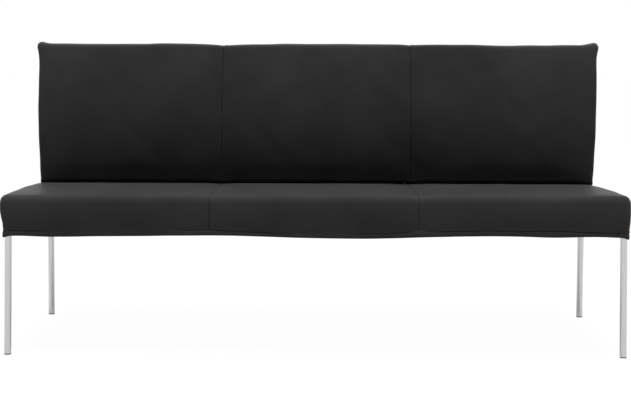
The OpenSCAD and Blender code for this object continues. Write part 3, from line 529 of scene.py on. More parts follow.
def settle(pad, cap):
    """How a cloth simulation of the leather moves it: coordinates and moves on a coarse grid."""
    parts = pad.across_steps(COARSE_STEP, COARSE_SEAM_STEP)
    across = np.concatenate([parts[0], parts[1][1:], parts[2][1:]])
    s = outline_steps(pad.outline, COARSE_LINE_STEP)
    whole = pad.points(across, s)
    moves = np.zeros_like(whole)
    # The outermost columns fold onto each other at the end walls, so they stay out
    inner = slice(2, -2)
    start = whole[:, inner]
    rows, cols = start.shape[:2]
    cloth = mesh_object("settling", start, grid_faces(rows, cols)[:, ::-1])
    held = np.zeros((rows, cols))
    held[:, [0, -1]] = 1
    held[:HELD_ROWS] = held[-HELD_ROWS:] = 1
    for seam in pad.seams:
        held[np.argmin(np.abs(across - seam)), :] = 1
    group = cloth.vertex_groups.new(name="held")
    group.add(np.flatnonzero(held.ravel()).tolist(), 1.0, "REPLACE")
    modifier = cloth.modifiers.new("cloth", "CLOTH")
    for key, value in SETTLING.items():
        setattr(modifier.settings, key, value)
    modifier.settings.effector_weights.gravity = 0
    modifier.collision_settings.use_collision = False
    modifier.point_cache.frame_start = 1
    modifier.point_cache.frame_end = SETTLE_FRAMES
    for f in range(1, SETTLE_FRAMES + 1):
        scene.frame_set(f)
    shown = cloth.evaluated_get(bpy.context.evaluated_depsgraph_get()).to_mesh()
    moved = np.array([v.co for v in shown.vertices]).reshape(start.shape) - start
    bpy.data.objects.remove(cloth)
    scene.frame_set(1)
    n = pad.normals(whole)[:, inner]
    rise = np.einsum("ijk,ijk->ij", moved, n)
    slide = moved - rise[..., None] * n
    print(f"settled {rise.max() / MM:.1f} mm out, {-rise.min() / MM:.1f} mm in")
    rise = np.where(rise > 0, cap * np.tanh(rise / cap), IN_CAP * np.tanh(rise / IN_CAP))
    slide = SLIDE_CAP * np.tanh(slide / SLIDE_CAP)
    moves[:, inner] = (rise[..., None] * n + slide) * pad.free(start)[..., None]
    return across, s, moves


def seam_form(d, along, seed):
    """Rise of the leather at signed distance d right of a seam: a rolled edge on both sides,
    the folded allowance with its row of stitches on the right, and small gathers."""
    near = np.abs(d)
    roll = ROLL_R - np.sqrt(np.maximum(0, ROLL_R**2 - np.maximum(0, ROLL_R - near) ** 2))
    rise = -roll
    past = smooth_step((d - ALLOWANCE_W) / ALLOWANCE_FADE)
    rise = rise + ALLOWANCE_H * (smooth_step(d / ALLOWANCE_START) * (1 - past))
    rise = rise - FURROW_D * np.exp(-((d - STITCH_SET) / FURROW_W) ** 2)
    gather = ripple(along, 9.0 * MM, 26.0 * MM, 7, seed)
    liveliness = 0.5 + 0.5 * ripple(along, 0.12, 0.4, 4, seed + 1)
    return rise + GATHER_H * gather * np.clip(liveliness, 0, 1.4) * np.exp(-near / GATHER_W)


def leather_panels(pad, covers, cap, seed, extra_nodes):
    """Makes the three sewn panels of a pad, and returns the whole grid that they are cut from."""
    coarse_across, coarse_s, moves = settle(pad, cap)
    parts = pad.across_steps(FLAT_STEP, SEAM_STEP)
    s = outline_steps(pad.outline, FLAT_STEP)
    across = np.concatenate([parts[0], parts[1][1:], parts[2][1:]])
    p = pad.points(across, s)
    n = pad.normals(p)
    moved = cubic_along(coarse_across, moves, across)
    moved = cubic_along(coarse_s, np.swapaxes(moved, 0, 1), s)
    p = p + np.swapaxes(moved, 0, 1)
    calm = CONTACT_SHARE + (1 - CONTACT_SHARE) * pad.free(p)
    rise = UNEVEN_H * unevenness(p, 0.07, 0.30, 10, seed + 2) * calm
    for k, seam in enumerate(pad.seams):
        rise = rise + seam_form((across - seam)[:, None], s[None, :], seed + 10 * k)
    ends = smooth_step((pad.reach - np.abs(across)) / WALL_FADE)[:, None]
    p = p + n * (rise * ends)[..., None]
    first = 0
    lips = [0.35, 1.0]
    for cover, part in zip(covers, parts):
        last = first + len(part)
        q = p[first:last]
        inward = -n[first:last]
        if first > 0:
            lip = np.stack([q[0] + inward[0] * LIP_D * t for t in reversed(lips)])
            q = np.concatenate([lip, q])
            q[:len(lip) + 1, :, 0] += LIP_GAP
        if last < len(across):
            lip = np.stack([q[-1] + inward[-1] * LIP_D * t for t in lips])
            q = np.concatenate([q, lip])
            q[-len(lip) - 1:, :, 0] -= LIP_GAP
        name = cover.replace("cover", "leather")
        panel = mesh_object(name, q, grid_faces(*q.shape[:2]), FINISH["leather"])
        thicken(panel, LEATHER_T, 1.0)
        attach(panel, "root")
        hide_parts(cover, *extra_nodes.get(cover, []))
        first = last - 1
    return across, s, p, n


def stitch_row(name, across, s, p, n, seam):
    """Makes a row of thread stitches beside a seam, as one mesh."""
    at = seam + STITCH_SET
    line = cubic_along(across, p, np.array([at]))[0]
    out = cubic_along(across, n, np.array([at]))[0]
    count = int((s[-1] - 2 * STITCH_END) / STITCH_PITCH)
    turns = [2 * math.pi * j / STITCH_SIDES for j in range(STITCH_SIDES)]
    arch = np.sin(np.linspace(0, math.pi, STITCH_RINGS))
    verts, faces = [], []
    for k in range(count):
        middle = STITCH_END + (k + 0.5) * STITCH_PITCH
        places = middle + np.linspace(-0.5, 0.5, STITCH_RINGS) * STITCH_L
        q = read_at(places, s, line)
        o = unit(read_at(places, s, out))
        aside = np.cross(unit(np.gradient(q, axis=0)), o)
        rings = []
        for i in range(STITCH_RINGS):
            centre = q[i] + o[i] * (STITCH_ARCH * arch[i] - STITCH_DEEP)
            r = STITCH_R * (0.55 + 0.45 * arch[i])
            rings.append([centre + r * (math.cos(a) * aside[i] * 1.25 + math.sin(a) * o[i])
                          for a in turns])
        add_tube(verts, faces, rings)
    row = mesh_object(name, np.array(verts), faces, THREAD)
    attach(row, "root")


# Materials
def new_material(name, looks):
    """A material with its node tree and its shader, whose sockets take the given looks."""
    material = bpy.data.materials.new(name)
    material.use_nodes = True
    shader = material.node_tree.nodes["Principled BSDF"]
    for socket, value in looks.items():
        shader.inputs[socket].default_value = value
    return material, material.node_tree, shader


def node(tree, kind, **values):
    """A new node, with values for its sockets and settings."""
    made = tree.nodes.new(kind)
    for key, value in values.items():
        if key in made.inputs:
            made.inputs[key].default_value = value
        else:
            setattr(made, key, value)
    return made


def own_place(tree):
    """Coordinates in the piece's own frame."""
    return node(tree, "ShaderNodeTexCoord").outputs["Object"]


def stretched(tree, vector, scale):
    """Coordinates scaled along each axis."""
    made = node(tree, "ShaderNodeMapping", Scale=scale)
    tree.links.new(vector, made.inputs["Vector"])
    return made.outputs["Vector"]


def noise(tree, vector, **values):
    """Outputs of a noise texture over the given coordinates."""
    made = node(tree, "ShaderNodeTexNoise", **values)
    tree.links.new(vector, made.inputs["Vector"])
    return made.outputs


def maths(tree, operation, first, second):
    """Result of an operation on two sockets, or on a socket and a number."""
    made = node(tree, "ShaderNodeMath", operation=operation)
    tree.links.new(first, made.inputs[0])
    if isinstance(second, float):
        made.inputs[1].default_value = second
    else:
        tree.links.new(second, made.inputs[1])
    return made.outputs[0]


def ramp(tree, source, low, high, colour_low, colour_high):
    """Colours between two stops of a grey value."""
    made = tree.nodes.new("ShaderNodeValToRGB")
    places, colours = (low, high), (colour_low, colour_high)
    for stop, place, colour in zip(made.color_ramp.elements, places, colours):
        stop.position = place
        stop.color = (*colour, 1)
    tree.links.new(source, made.inputs["Fac"])
    return made.outputs["Color"]


def ranged(tree, source, low, high, to_low, to_high):
    """A value moved from one range to another."""
    made = node(tree, "ShaderNodeMapRange", **{"From Min": low, "From Max": high,
                                               "To Min": to_low, "To Max": to_high})
    tree.links.new(source, made.inputs["Value"])
    return made.outputs["Result"]


def blended(tree, kind, share, first, second):
    """Two colours put together by a blend of the given kind."""
    made = node(tree, "ShaderNodeMixRGB", Fac=share, blend_type=kind)
    tree.links.new(first, made.inputs["Color1"])
    tree.links.new(second, made.inputs["Color2"])
    return made.outputs["Color"]


def bumped(tree, shader, layers):
    """Chains bump nodes of (height socket, distance in metres, strength) onto a shader."""
    normal = None
    for height, distance, strength in layers:
        bump = node(tree, "ShaderNodeBump", Distance=distance, Strength=strength)
        tree.links.new(height, bump.inputs["Height"])
        if normal is not None:
            tree.links.new(normal, bump.inputs["Normal"])
        normal = bump.outputs["Normal"]
    tree.links.new(normal, shader.inputs["Normal"])


def leather_material():
    """Smooth black leather: a fine pebble grain with pores, soft creases, uneven dye, and painted
    shade in the grain's grooves.
    """
    material, tree, shader = new_material("leather", {
        "Specular IOR Level": 0.03, "Sheen Weight": 0.04, "Sheen Roughness": 0.5})
    links = tree.links
    where = own_place(tree)
    bend = noise(tree, where, Scale=90.0, Detail=3.0)["Color"]
    pebble = node(tree, "ShaderNodeTexVoronoi", Scale=620.0, Randomness=1.0,
                  feature="DISTANCE_TO_EDGE")
    links.new(blended(tree, "ADD", 0.006, where, bend), pebble.inputs["Vector"])
    grain = ranged(tree, pebble.outputs["Distance"], 0.0, 0.22, 0.0, 1.0)
    pore = noise(tree, where, Scale=2400.0, Detail=2.0)["Fac"]
    crease = noise(tree, where, Scale=55.0, Detail=6.0, Roughness=0.62, Distortion=0.6)["Fac"]
    cloud = noise(tree, where, Scale=5.0, Detail=4.0, Roughness=0.55)["Fac"]
    base = ramp(tree, cloud, 0.30, 0.72, LEATHER_DARK, LEATHER_LIGHT)
    # Painted shade: the base colour is darkened in the grooves between the pebbles of the grain,
    # where the bump is low.
    groove = ramp(tree, grain, 0.0, 0.55, (0.72, 0.72, 0.72), (1, 1, 1))
    links.new(blended(tree, "MULTIPLY", 1.0, base, groove), shader.inputs["Base Color"])
    links.new(ranged(tree, crease, 0.3, 0.7, 0.38, 0.47), shader.inputs["Roughness"])
    bumped(tree, shader, [(crease, 0.5 * MM, 0.35),
                          (grain, 0.16 * MM, 0.55),
                          (pore, 0.03 * MM, 0.35)])
    return material


def steel_material():
    """Satin tube, ground along its length."""
    material, tree, shader = new_material("leg_steel", {"Metallic": 1.0, "Anisotropic": 0.45})
    links = tree.links
    where = own_place(tree)
    ground = stretched(tree, where, (1500.0, 1500.0, 18.0))
    streak = noise(tree, ground, Scale=1.0, Detail=4.0, Roughness=0.6)["Fac"]
    cloud = noise(tree, where, Scale=14.0, Detail=3.0)["Fac"]
    links.new(ramp(tree, streak, 0.3, 0.7, STEEL_DARK, STEEL_LIGHT), shader.inputs["Base Color"])
    links.new(ranged(tree, cloud, 0.3, 0.7, 0.27, 0.36), shader.inputs["Roughness"])
    bumped(tree, shader, [(streak, 0.02 * MM, 0.35)])
    return material


def speckled(name, colour, roughness, metallic=0.0, scale=300.0, vary=0.12, bump=0.1):
    """A finish with fine grain: moulded plastic, powder coat, zinc plate, felt or foam."""
    material, tree, shader = new_material(name, {"Metallic": metallic})
    fine = noise(tree, own_place(tree), Scale=scale, Detail=4.0, Roughness=0.6)["Fac"]
    low = tuple(c * (1 - vary) for c in colour)
    high = tuple(c * (1 + vary) for c in colour)
    tree.links.new(ramp(tree, fine, 0.3, 0.7, low, high), shader.inputs["Base Color"])
    rough = ranged(tree, fine, 0.3, 0.7, roughness - 0.06, roughness + 0.06)
    tree.links.new(rough, shader.inputs["Roughness"])
    bumped(tree, shader, [(fine, bump * MM, 0.5)])
    return material


def woven(name, colour, pitch):
    """Two crossing sets of threads."""
    material, tree, shader = new_material(name, {"Roughness": 0.85})
    where = own_place(tree)
    waves = []
    for axis in ("X", "Y"):
        thread = node(tree, "ShaderNodeTexWave", Scale=1 / pitch / WAVE_TURN, Distortion=0.6,
                      Detail=1.0, bands_direction=axis)
        tree.links.new(where, thread.inputs["Vector"])
        waves.append(thread.outputs["Fac"])
    cloth = maths(tree, "MAXIMUM", *waves)
    low = tuple(c * 0.55 for c in colour)
    tree.links.new(ramp(tree, cloth, 0.1, 0.9, low, colour), shader.inputs["Base Color"])
    bumped(tree, shader, [(cloth, 0.4 * MM, 0.6)])
    return material


def plywood_material():
    """Wood with its grain along the sofa."""
    material, tree, shader = new_material("plywood", {"Roughness": 0.62})
    along = stretched(tree, own_place(tree), (3.0, 90.0, 90.0))
    grain = noise(tree, along, Scale=1.0, Detail=6.0, Roughness=0.6, Distortion=0.8)["Fac"]
    tree.links.new(ramp(tree, grain, 0.35, 0.7, WOOD_DARK, WOOD_LIGHT), shader.inputs["Base Color"])
    bumped(tree, shader, [(grain, 0.2 * MM, 0.4)])
    return material


# A full turn of the weave's waves
WAVE_TURN = 6.2832
LEATHER_DARK, LEATHER_LIGHT = (0.034, 0.034, 0.0345), (0.048, 0.0478, 0.0475)
STEEL_DARK, STEEL_LIGHT = (0.62, 0.61, 0.59), (0.76, 0.75, 0.73)
WOOD_DARK, WOOD_LIGHT = (0.36, 0.22, 0.10), (0.56, 0.39, 0.21)
FINISH = {
    "leather": leather_material(),
    "leg_steel": steel_material(),
    "glide_plastic": speckled("glide_plastic", (0.018, 0.018, 0.019), 0.48),
    "chassis": speckled("chassis_coat", (0.03, 0.032, 0.034), 0.5, scale=700.0),
    "zinc": speckled("zinc_plate", (0.50, 0.52, 0.54), 0.34, metallic=1.0, scale=120.0),
    "webbing": woven("webbing", (0.26, 0.20, 0.11), 2.2 * MM),
    "felt": speckled("felt", (0.18, 0.17, 0.15), 0.95, scale=900.0, vary=0.35, bump=0.8),
    "foam": speckled("foam", (0.70, 0.63, 0.40), 0.9, scale=1200.0, vary=0.15, bump=0.5),
    "black_cloth": woven("black_cloth", (0.016, 0.016, 0.016), 1.3 * MM),
    "plywood": plywood_material(),
}
THREAD = speckled("thread", (0.014, 0.014, 0.014), 0.7, scale=2500.0, vary=0.4, bump=0.15)

for part in frame["record"]["subparts"]:
    cad = frame["nodes"].get(part["node"])
    finish = FINISH.get(part.get("material_slot"))
    if cad and finish:
        cad.data.materials.clear()
        cad.data.materials.append(finish)

# The pads
seat_grid = leather_panels(
    seat_pad, SEAT_NODES, SEAT_CAP, seed=21, extra_nodes={
        "seat_cover_left": ["padding_left"], "seat_cover_right": ["padding_right"],
        "seat_cover_centre": ["seat_foam", "padding_front", "padding_rear", "felt_sheet"]})
back_grid = leather_panels(
    back_pad, BACK_NODES, BACK_CAP, seed=51, extra_nodes={
        "back_cover_centre": ["back_foam_front", "back_foam_rear"]})
for pad_name, pad, grid in (("seat", seat_pad, seat_grid), ("back", back_pad, back_grid)):
    for seam, side in zip(pad.seams, ("left", "right")):
        stitch_row(f"{pad_name}_stitches_{side}", *grid, seam)


# The folded hem under the seat's leather
HEM_T = 3.2 * MM
HEM_SET = 0.6 * MM
HEM_BULGE = 0.9 * MM
HEM_STEP = 5.0 * MM
HEM_CORNER_R, HEM_CORNER_PLACES = 9.0 * MM, 9
HEM_SWAY, HEM_FLARE = 0.9 * MM, 1.6 * MM
HEM_TIP_H, HEM_TIP_W = 5.0 * MM, 13.0 * MM
HEM_REAR_WAVE, HEM_REAR_RISE = 2.6 * MM, 2.5 * MM
HEM_TURN = 0.03
# The line pressed in above the fold, as pairs of height above the line and depth, in mm
HEM_GROOVE = ((7.0, 3.2), (2.0, 3.2), (0.3, 3.0), (-0.7, 2.4), (-1.5, 1.0), (-2.4, 0.1))
# Rise of the front hem's lower line along its length, in mm
FRONT_HEM_WAVE = [(-0.915, 0.5), (-0.87, 1.0), (-0.78, -1.2), (-0.64, 1.0), (-0.50, 2.6),
                  (-0.38, 4.5), (-0.25, 5.0), (-0.08, 0.6), (0.05, -1.6), (0.17, -1.4),
                  (0.34, 4.0), (0.55, 7.6), (0.70, 4.6), (0.83, 7.0), (0.915, 4.0)]


def hem_ring():
    """Plan of the hem: places and outward directions, from the front left corner."""
    x, y0, y1 = hem_hi.x, hem_lo.y, hem_hi.y
    r = HEM_CORNER_R
    places, outs = [], []
    legs = [((-x + r, y0), (x - r, y0), (0, -1)), ((x, y0 + r), (x, y1 - r), (1, 0)),
            ((x - r, y1), (-x + r, y1), (0, 1)), ((-x, y1 - r), (-x, y0 + r), (-1, 0))]
    for a, b, out in legs:
        a, b, out = np.array(a), np.array(b), np.array(out, float)
        count = int(np.linalg.norm(b - a) / HEM_STEP)
        for t in np.linspace(0, 1, count):
            places.append(a + (b - a) * t)
            outs.append(out)
        for t in np.linspace(0, math.pi / 2, HEM_CORNER_PLACES)[1:-1]:
            n = out * math.cos(t) + np.array([-out[1], out[0]]) * math.sin(t)
            places.append(b - out * r + n * r)
            outs.append(n)
    return np.array(places), np.array(outs)


def hem_lower(places):
    """Height of the hem's lower line, and how near a place is to the tip at a corner."""
    x, y = places[:, 0], places[:, 1]
    front = wave(FRONT_HEM_WAVE, x)
    other = HEM_REAR_WAVE * ripple(x + 1.7 * y, 0.22, 0.6, count=5, seed=33) + HEM_REAR_RISE
    ahead = 1 - smooth_step((y - hem_lo.y) / HEM_TURN)
    z = hem_lo.z + front * ahead + other * (1 - ahead)
    corner = np.hypot(np.abs(x) - hem_hi.x, np.minimum(y - hem_lo.y, hem_hi.y - y))
    tip = np.exp(-(corner / HEM_TIP_W) ** 2)
    return z - HEM_TIP_H * tip, tip


def hem_profile(low, rise, depth):
    """Rows of (offset outwards, height) down the outer face, round the fold and up inside."""
    line = hem_hi.z + rise
    half = HEM_T / 2
    rows = []
    for above, sunk in HEM_GROOVE:
        rows.append((half - HEM_SET - sunk * MM * depth, line + above * MM))
    groove_foot = rows[-1][1]
    for t in (0.2, 0.42, 0.64, 0.84):
        z = groove_foot + (low + half - groove_foot) * t
        rows.append((half - HEM_SET + HEM_BULGE * 4 * t * (1 - t), z))
    for a in np.linspace(0, -math.pi, 7):
        rows.append((half * math.cos(a) - HEM_SET, low + half + half * math.sin(a)))
    for t in (0.25, 0.6, 1.0):
        rows.append((-half - HEM_SET, low + half + (line - low) * t))
    return rows


def make_hem():
    """The hem: a ring of folded leather below the seat's panels."""
    places, outs = hem_ring()
    low, tip = hem_lower(places)
    rise, depth = hem_line(places[:, 0], places[:, 1])
    sway = HEM_SWAY * ripple(places[:, 0] + places[:, 1] * 1.4, 0.10, 0.35, count=6, seed=35)
    flare = HEM_FLARE * tip
    rows = []
    for off, z in hem_profile(low, rise, depth):
        down = np.clip((hem_hi.z - z) / (hem_hi.z - low), 0, 1)
        side = off - HEM_T / 2 + (sway + flare) * down
        rows.append(np.column_stack([places + outs * side[:, None], z]))
    p = np.stack(rows)
    hem = mesh_object("seat_hem", p, loop_faces(*p.shape[:2]), FINISH["leather"])
    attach(hem, "root")
    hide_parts("hem_front", "hem_rear", "hem_left", "hem_right")


make_hem()


# Cloth and webbing that show from below or close the pads
CLOTH_T = 0.5 * MM
CLOTH_FOLD = 0.012
CLOTH_FOLD_H, CLOTH_FOLD_EASE = 0.45 * MM, 1.5 * MM
CLOTH_GAP = 0.1 * MM
CLOTH_SAG = 2.6 * MM
CLOTH_STEP = 12 * MM
PUCKER_D, PUCKER_FADE = 0.35 * MM, 0.04
CORNER_NOTCH = 0.0713
STRIP_STEP_X, STRIP_STEP_Y = 10 * MM, 8 * MM
STRIP_PUCKER = 0.15 * MM
SLOT_GAP = 1.0 * MM
STRAP_W = 0.070
STRAP_T = 2.0 * MM
STRAP_LAP = 0.039
STRAP_REST = 0.015
STRAP_EDGE = 1.0 * MM
STRAP_STEP = 6 * MM
CROSS_STRAPS = 14
LONG_STRAPS = 4
# Section of a leg's bead of weld, as pairs of reach out of the tube and height, in mm
WELD_SECTION = ((-0.6, 0), (0.6, -2.6), (1.7, -2.1), (2.6, -1.2), (3.0, 0))
WELD_SIDES = 48
WELD_WOBBLE = 0.25 * MM


def places_with(a, b, step, lines):
    """Even places from a to b, and the given lines that lie between them."""
    even = np.linspace(a, b, int((b - a) / step) + 1)
    lines = [v for v in lines if a < v < b]
    clear = [v for v in even if all(abs(v - k) > 0.3 * step for k in lines)]
    return np.array(sorted({a, b, *clear, *lines}))


def cloth_sheet(name, xs, ys, height, holes):
    """A sheet of black cloth over a grid of places, without the faces inside the holes."""
    x, y = np.meshgrid(xs, ys, indexing="ij")
    faces = grid_faces(len(xs), len(ys))[:, ::-1]
    mid_x, mid_y = x.ravel()[faces].mean(1), y.ravel()[faces].mean(1)
    for x0, x1, y0, y1 in holes:
        keep = (mid_x < x0) | (mid_x > x1) | (mid_y < y0) | (mid_y > y1)
        faces, mid_x, mid_y = faces[keep], mid_x[keep], mid_y[keep]
    used = np.unique(faces)
    order = np.zeros(x.size, int)
    order[used] = np.arange(len(used))
    points = np.stack([x, y, height(x, y)], -1).reshape(-1, 3)[used]
    sheet = mesh_object(name, points, order[faces], FINISH["black_cloth"])
    thicken(sheet, CLOTH_T, -1.0)
    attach(sheet, "root")
    return sheet


def make_dust_cloth():
    """The cloth below the chassis: folded edges on the rails, and a little sag between them."""
    lo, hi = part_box("dust_cloth")
    rails = [lo[0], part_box("cross_rail_left")[0][0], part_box("cross_rail_right")[1][0], hi[0]]
    top = hi[2] - CLOTH_GAP

    def height(x, y):
        sag = np.zeros_like(x)
        for a, b in zip(rails, rails[1:]):
            sag += np.where((x >= a) & (x < b), np.sin(np.pi * (x - a) / (b - a)) ** 2, 0)
        sag *= CLOTH_SAG * np.sin(np.pi * np.clip((y - lo[1]) / (hi[1] - lo[1]), 0, 1)) ** 1.5
        edge = np.min([x - lo[0], hi[0] - x, y - lo[1], hi[1] - y], axis=0)
        fold = CLOTH_FOLD_H * (1 - smooth_step((edge - CLOTH_FOLD) / CLOTH_FOLD_EASE))
        creases = ripple(x + 1.3 * y, 0.03, 0.09, count=6, seed=71)
        pucker = PUCKER_D * creases * np.exp(-edge / PUCKER_FADE)
        return top - sag - fold - np.abs(pucker)

    def grid_lines(axis):
        """Places along an axis, with the lines of the folds and the notches."""
        folds = [CLOTH_FOLD, CLOTH_FOLD + CLOTH_FOLD_EASE, CORNER_NOTCH]
        lines = [lo[axis] + d for d in folds] + [hi[axis] - d for d in folds]
        return places_with(lo[axis], hi[axis], CLOTH_STEP, lines)

    n = CORNER_NOTCH
    corners = [(x0, x1, y0, y1) for x0, x1 in ((lo[0], lo[0] + n), (hi[0] - n, hi[0]))
               for y0, y1 in ((lo[1], lo[1] + n), (hi[1] - n, hi[1]))]
    sheet = cloth_sheet("dust_cloth_sheet", grid_lines(0), grid_lines(1), height, corners)
    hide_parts("dust_cloth")


def make_back_underside():
    """The strip of cloth between the two edges of leather below the back's foot."""
    lo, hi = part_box("back_underside")
    holes = []
    for panel in PANELS:
        a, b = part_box(f"back_upright_{panel}")
        holes.append((a[0] - SLOT_GAP, b[0] + SLOT_GAP, a[1] - 2 * SLOT_GAP, hi[1]))

    def height(x, y):
        along = (y - lo[1]) / (hi[1] - lo[1])
        creases = ripple(x, 0.03, 0.12, count=6, seed=73)
        return hi[2] + (lo[2] + CLOTH_T - hi[2]) * along + STRIP_PUCKER * creases

    xs = places_with(lo[0], hi[0], STRIP_STEP_X, [h[0] for h in holes] + [h[1] for h in holes])
    ys = places_with(lo[1], hi[1], STRIP_STEP_Y, [holes[0][2]])
    sheet = cloth_sheet("back_underside_cloth", xs, ys, height, holes)
    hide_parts("back_underside")


def strap_section(across, height):
    """Outline of a strap's cross section: flat faces and thin edges."""
    w, t = STRAP_W / 2, STRAP_T / 2
    flat = w - STRAP_EDGE
    outline = ((-w, 0), (-flat, t), (0, t), (flat, t), (w, 0), (flat, -t), (0, -t), (-flat, -t))
    return [(across + u, height + v) for u, v in outline]


def make_straps(name, node_name, axis, count, crossed):
    """A set of webbing straps that pass over and under the straps of the other set."""
    lo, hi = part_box(node_name)
    cross = 1 - axis
    places = np.linspace(lo[cross] + STRAP_W / 2, hi[cross] - STRAP_W / 2, count)
    middle, sway = (lo[2] + hi[2]) / 2, (hi[2] - lo[2] - STRAP_T) / 2
    along = np.arange(lo[axis], hi[axis] + STRAP_STEP / 2, STRAP_STEP)
    along[-1] = hi[axis]
    verts, faces = [], []
    for k, across in enumerate(places):
        turns, levels = [lo[axis], lo[axis] + STRAP_REST], [-1, -1]
        for m, c in enumerate(crossed):
            turns += [c - STRAP_LAP, c + STRAP_LAP]
            levels += [1 if (m + k + axis + 1) % 2 == 0 else -1] * 2
        turns += [hi[axis] - STRAP_REST, hi[axis]]
        levels += [-1, -1]
        z = middle + sway * np.sin(np.pi / 2 * np.interp(along, turns, levels))
        rings = []
        for a, h in zip(along, z):
            rings.append([(a, u, v) if axis == 0 else (u, a, v)
                          for u, v in strap_section(across, h)])
        add_tube(verts, faces, rings if axis == 0 else [ring[::-1] for ring in rings])
    straps = mesh_object(name, np.array(verts), faces, FINISH["webbing"])
    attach(straps, "root")
    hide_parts(node_name)
    return places


def make_welds():
    """The bead of weld round the top of each leg, below its plate."""
    verts, faces = [], []
    turns = np.linspace(0, 2 * math.pi, WELD_SIDES + 1)[:-1]
    for k, name in enumerate(("front_left", "front_right", "rear_left", "rear_right")):
        lo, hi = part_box(f"leg_{name}")
        side = -1 if "left" in name else 1
        r = (hi[1] - lo[1]) / 2
        inner_x = lo[0] if side > 0 else hi[0]
        centre = np.array([inner_x + side * r, (lo[1] + hi[1]) / 2, hi[2]])
        wobble = WELD_WOBBLE * ripple(turns * r, 3 * MM, 9 * MM, count=6, seed=80 + k)
        faces += loop_faces(len(WELD_SECTION), WELD_SIDES, len(verts))
        for out, up in WELD_SECTION:
            for a, bump in zip(turns, wobble):
                reach = r + out * MM + bump
                verts.append(centre + (reach * math.cos(a), reach * math.sin(a), up * MM))
    welds = mesh_object("leg_welds", np.array(verts), faces, FINISH["leg_steel"])
    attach(welds, "root")


make_dust_cloth()
make_back_underside()
cross_lo, cross_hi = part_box("webbing_cross")
cross_places = np.linspace(cross_lo[0] + STRAP_W / 2, cross_hi[0] - STRAP_W / 2, CROSS_STRAPS)
long_places = make_straps("webbing_long_straps", "webbing_long", 0, LONG_STRAPS, cross_places)
make_straps("webbing_cross_straps", "webbing_cross", 1, CROSS_STRAPS, long_places)
make_welds()


# Studio
CAMERA_DISTANCE = 3.88994
CAMERA_HEIGHT = 0.8864
CAMERA_X = -0.00342
CAMERA_PITCH = 0.05633
CAMERA_YAW = 0.00039
CAMERA_ROLL = 0.00583
FOCAL_PX = 1236.4
PRINCIPAL_Y_PX = 124.3
PHOTO_W_PX, PHOTO_H_PX = 631, 400
SENSOR = 36.0
ZENITH_GLOW = 0.15
BACKDROP_GLOW = 0.8
ROOM_GLOW = 0.03
SUN_BACK = math.radians(-8.5)
SUN_WIDTH = math.radians(28.0)
SUN_LEVEL = 1.08
# Heights and depths on a unit sphere between which the room brightens
ZENITH_FROM = 0.45
BACKDROP_FROM, BACKDROP_FULL = 0.05, 0.6
FLOOR_HALF = 9
FLOOR_SHADE = 0.58
FLOOR_GLOW = 1.04
FLOOR_SHOWN, FLOOR_MIRRORED = 0.93, 0.3


def make_camera():
    """The camera, where the photograph's was."""
    data = bpy.data.cameras.new("camera")
    data.sensor_width = SENSOR
    data.lens = FOCAL_PX / PHOTO_W_PX * SENSOR
    data.shift_y = (PRINCIPAL_Y_PX - PHOTO_H_PX / 2) / PHOTO_W_PX
    data.clip_start, data.clip_end = 0.1, 60.0
    camera = bpy.data.objects.new("camera", data)
    camera.location = (CAMERA_X, -CAMERA_DISTANCE, CAMERA_HEIGHT)
    camera.rotation_euler = Euler((math.pi / 2 - CAMERA_PITCH, -CAMERA_ROLL, CAMERA_YAW), "XYZ")
    scene.collection.objects.link(camera)
    bpy.context.scene.camera = camera


def shown_rays(tree, straight, mirrored):
    """How white the background shows: straight or through glass, and mirrored in metal."""
    rays = node(tree, "ShaderNodeLightPath").outputs
    seen = maths(tree, "MAXIMUM", rays["Is Camera Ray"], rays["Is Transmission Ray"])
    return maths(tree, "MAXIMUM", maths(tree, "MULTIPLY", seen, straight),
                 maths(tree, "MULTIPLY", rays["Is Glossy Ray"], mirrored))


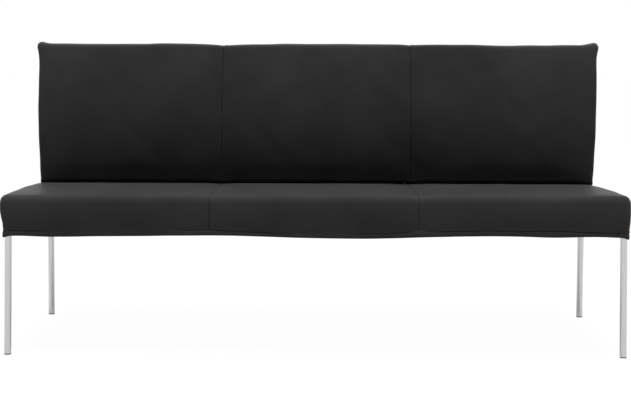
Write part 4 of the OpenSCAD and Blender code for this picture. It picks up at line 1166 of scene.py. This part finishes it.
def make_floor():
    """The pale floor: it glows as white as the background and keeps the sofa's shadow."""
    h = FLOOR_HALF
    floor = mesh_object("floor", [(-h, -h, 0), (h, -h, 0), (h, h, 0), (-h, h, 0)], [[0, 1, 2, 3]])
    material, tree, shader = new_material("floor", {
        "Base Color": (FLOOR_SHADE, FLOOR_SHADE, FLOOR_SHADE, 1),
        "Roughness": 0.9, "Specular IOR Level": 0.1})
    out = tree.nodes["Material Output"]
    glow = node(tree, "ShaderNodeEmission", Strength=FLOOR_GLOW)
    mix = node(tree, "ShaderNodeMixShader")
    tree.links.new(shown_rays(tree, FLOOR_SHOWN, FLOOR_MIRRORED), mix.inputs["Fac"])
    tree.links.new(shader.outputs["BSDF"], mix.inputs[1])
    tree.links.new(glow.outputs["Emission"], mix.inputs[2])
    tree.links.new(mix.outputs["Shader"], out.inputs["Surface"])
    floor.data.materials.append(material)


def make_world():
    """The room: white where it shows, and for its light a bright backdrop behind the sofa."""
    world = bpy.data.worlds.new("studio")
    scene.world = world
    world.use_nodes = True
    tree = world.node_tree
    links = tree.links
    background = tree.nodes["Background"]
    where = node(tree, "ShaderNodeTexCoord")
    split = node(tree, "ShaderNodeSeparateXYZ")
    links.new(where.outputs["Generated"], split.inputs["Vector"])
    above = ranged(tree, split.outputs["Z"], ZENITH_FROM, 1.0, 0.0, ZENITH_GLOW)
    behind = ranged(tree, split.outputs["Y"], BACKDROP_FROM, BACKDROP_FULL,
                    ROOM_GLOW, BACKDROP_GLOW)
    mix = node(tree, "ShaderNodeMixRGB")
    links.new(shown_rays(tree, 1.0, 1.0), mix.inputs["Fac"])
    links.new(maths(tree, "MAXIMUM", above, behind), mix.inputs["Color1"])
    mix.inputs["Color2"].default_value = (1, 1, 1, 1)
    links.new(mix.outputs["Color"], background.inputs["Color"])


def make_overhead_light():
    """A broad softbox far overhead, a little in front of the sofa."""
    data = bpy.data.lights.new("overhead", "SUN")
    data.energy = math.pi * SUN_LEVEL
    data.angle = SUN_WIDTH
    lamp = bpy.data.objects.new("overhead", data)
    lamp.visible_glossy = False
    towards = Vector((0.0, math.sin(SUN_BACK), math.cos(SUN_BACK)))
    lamp.rotation_euler = towards.to_track_quat("Z", "Y").to_euler()
    scene.collection.objects.link(lamp)


make_camera()
make_floor()
make_world()
make_overhead_light()
scene.view_settings.view_transform = "Standard"
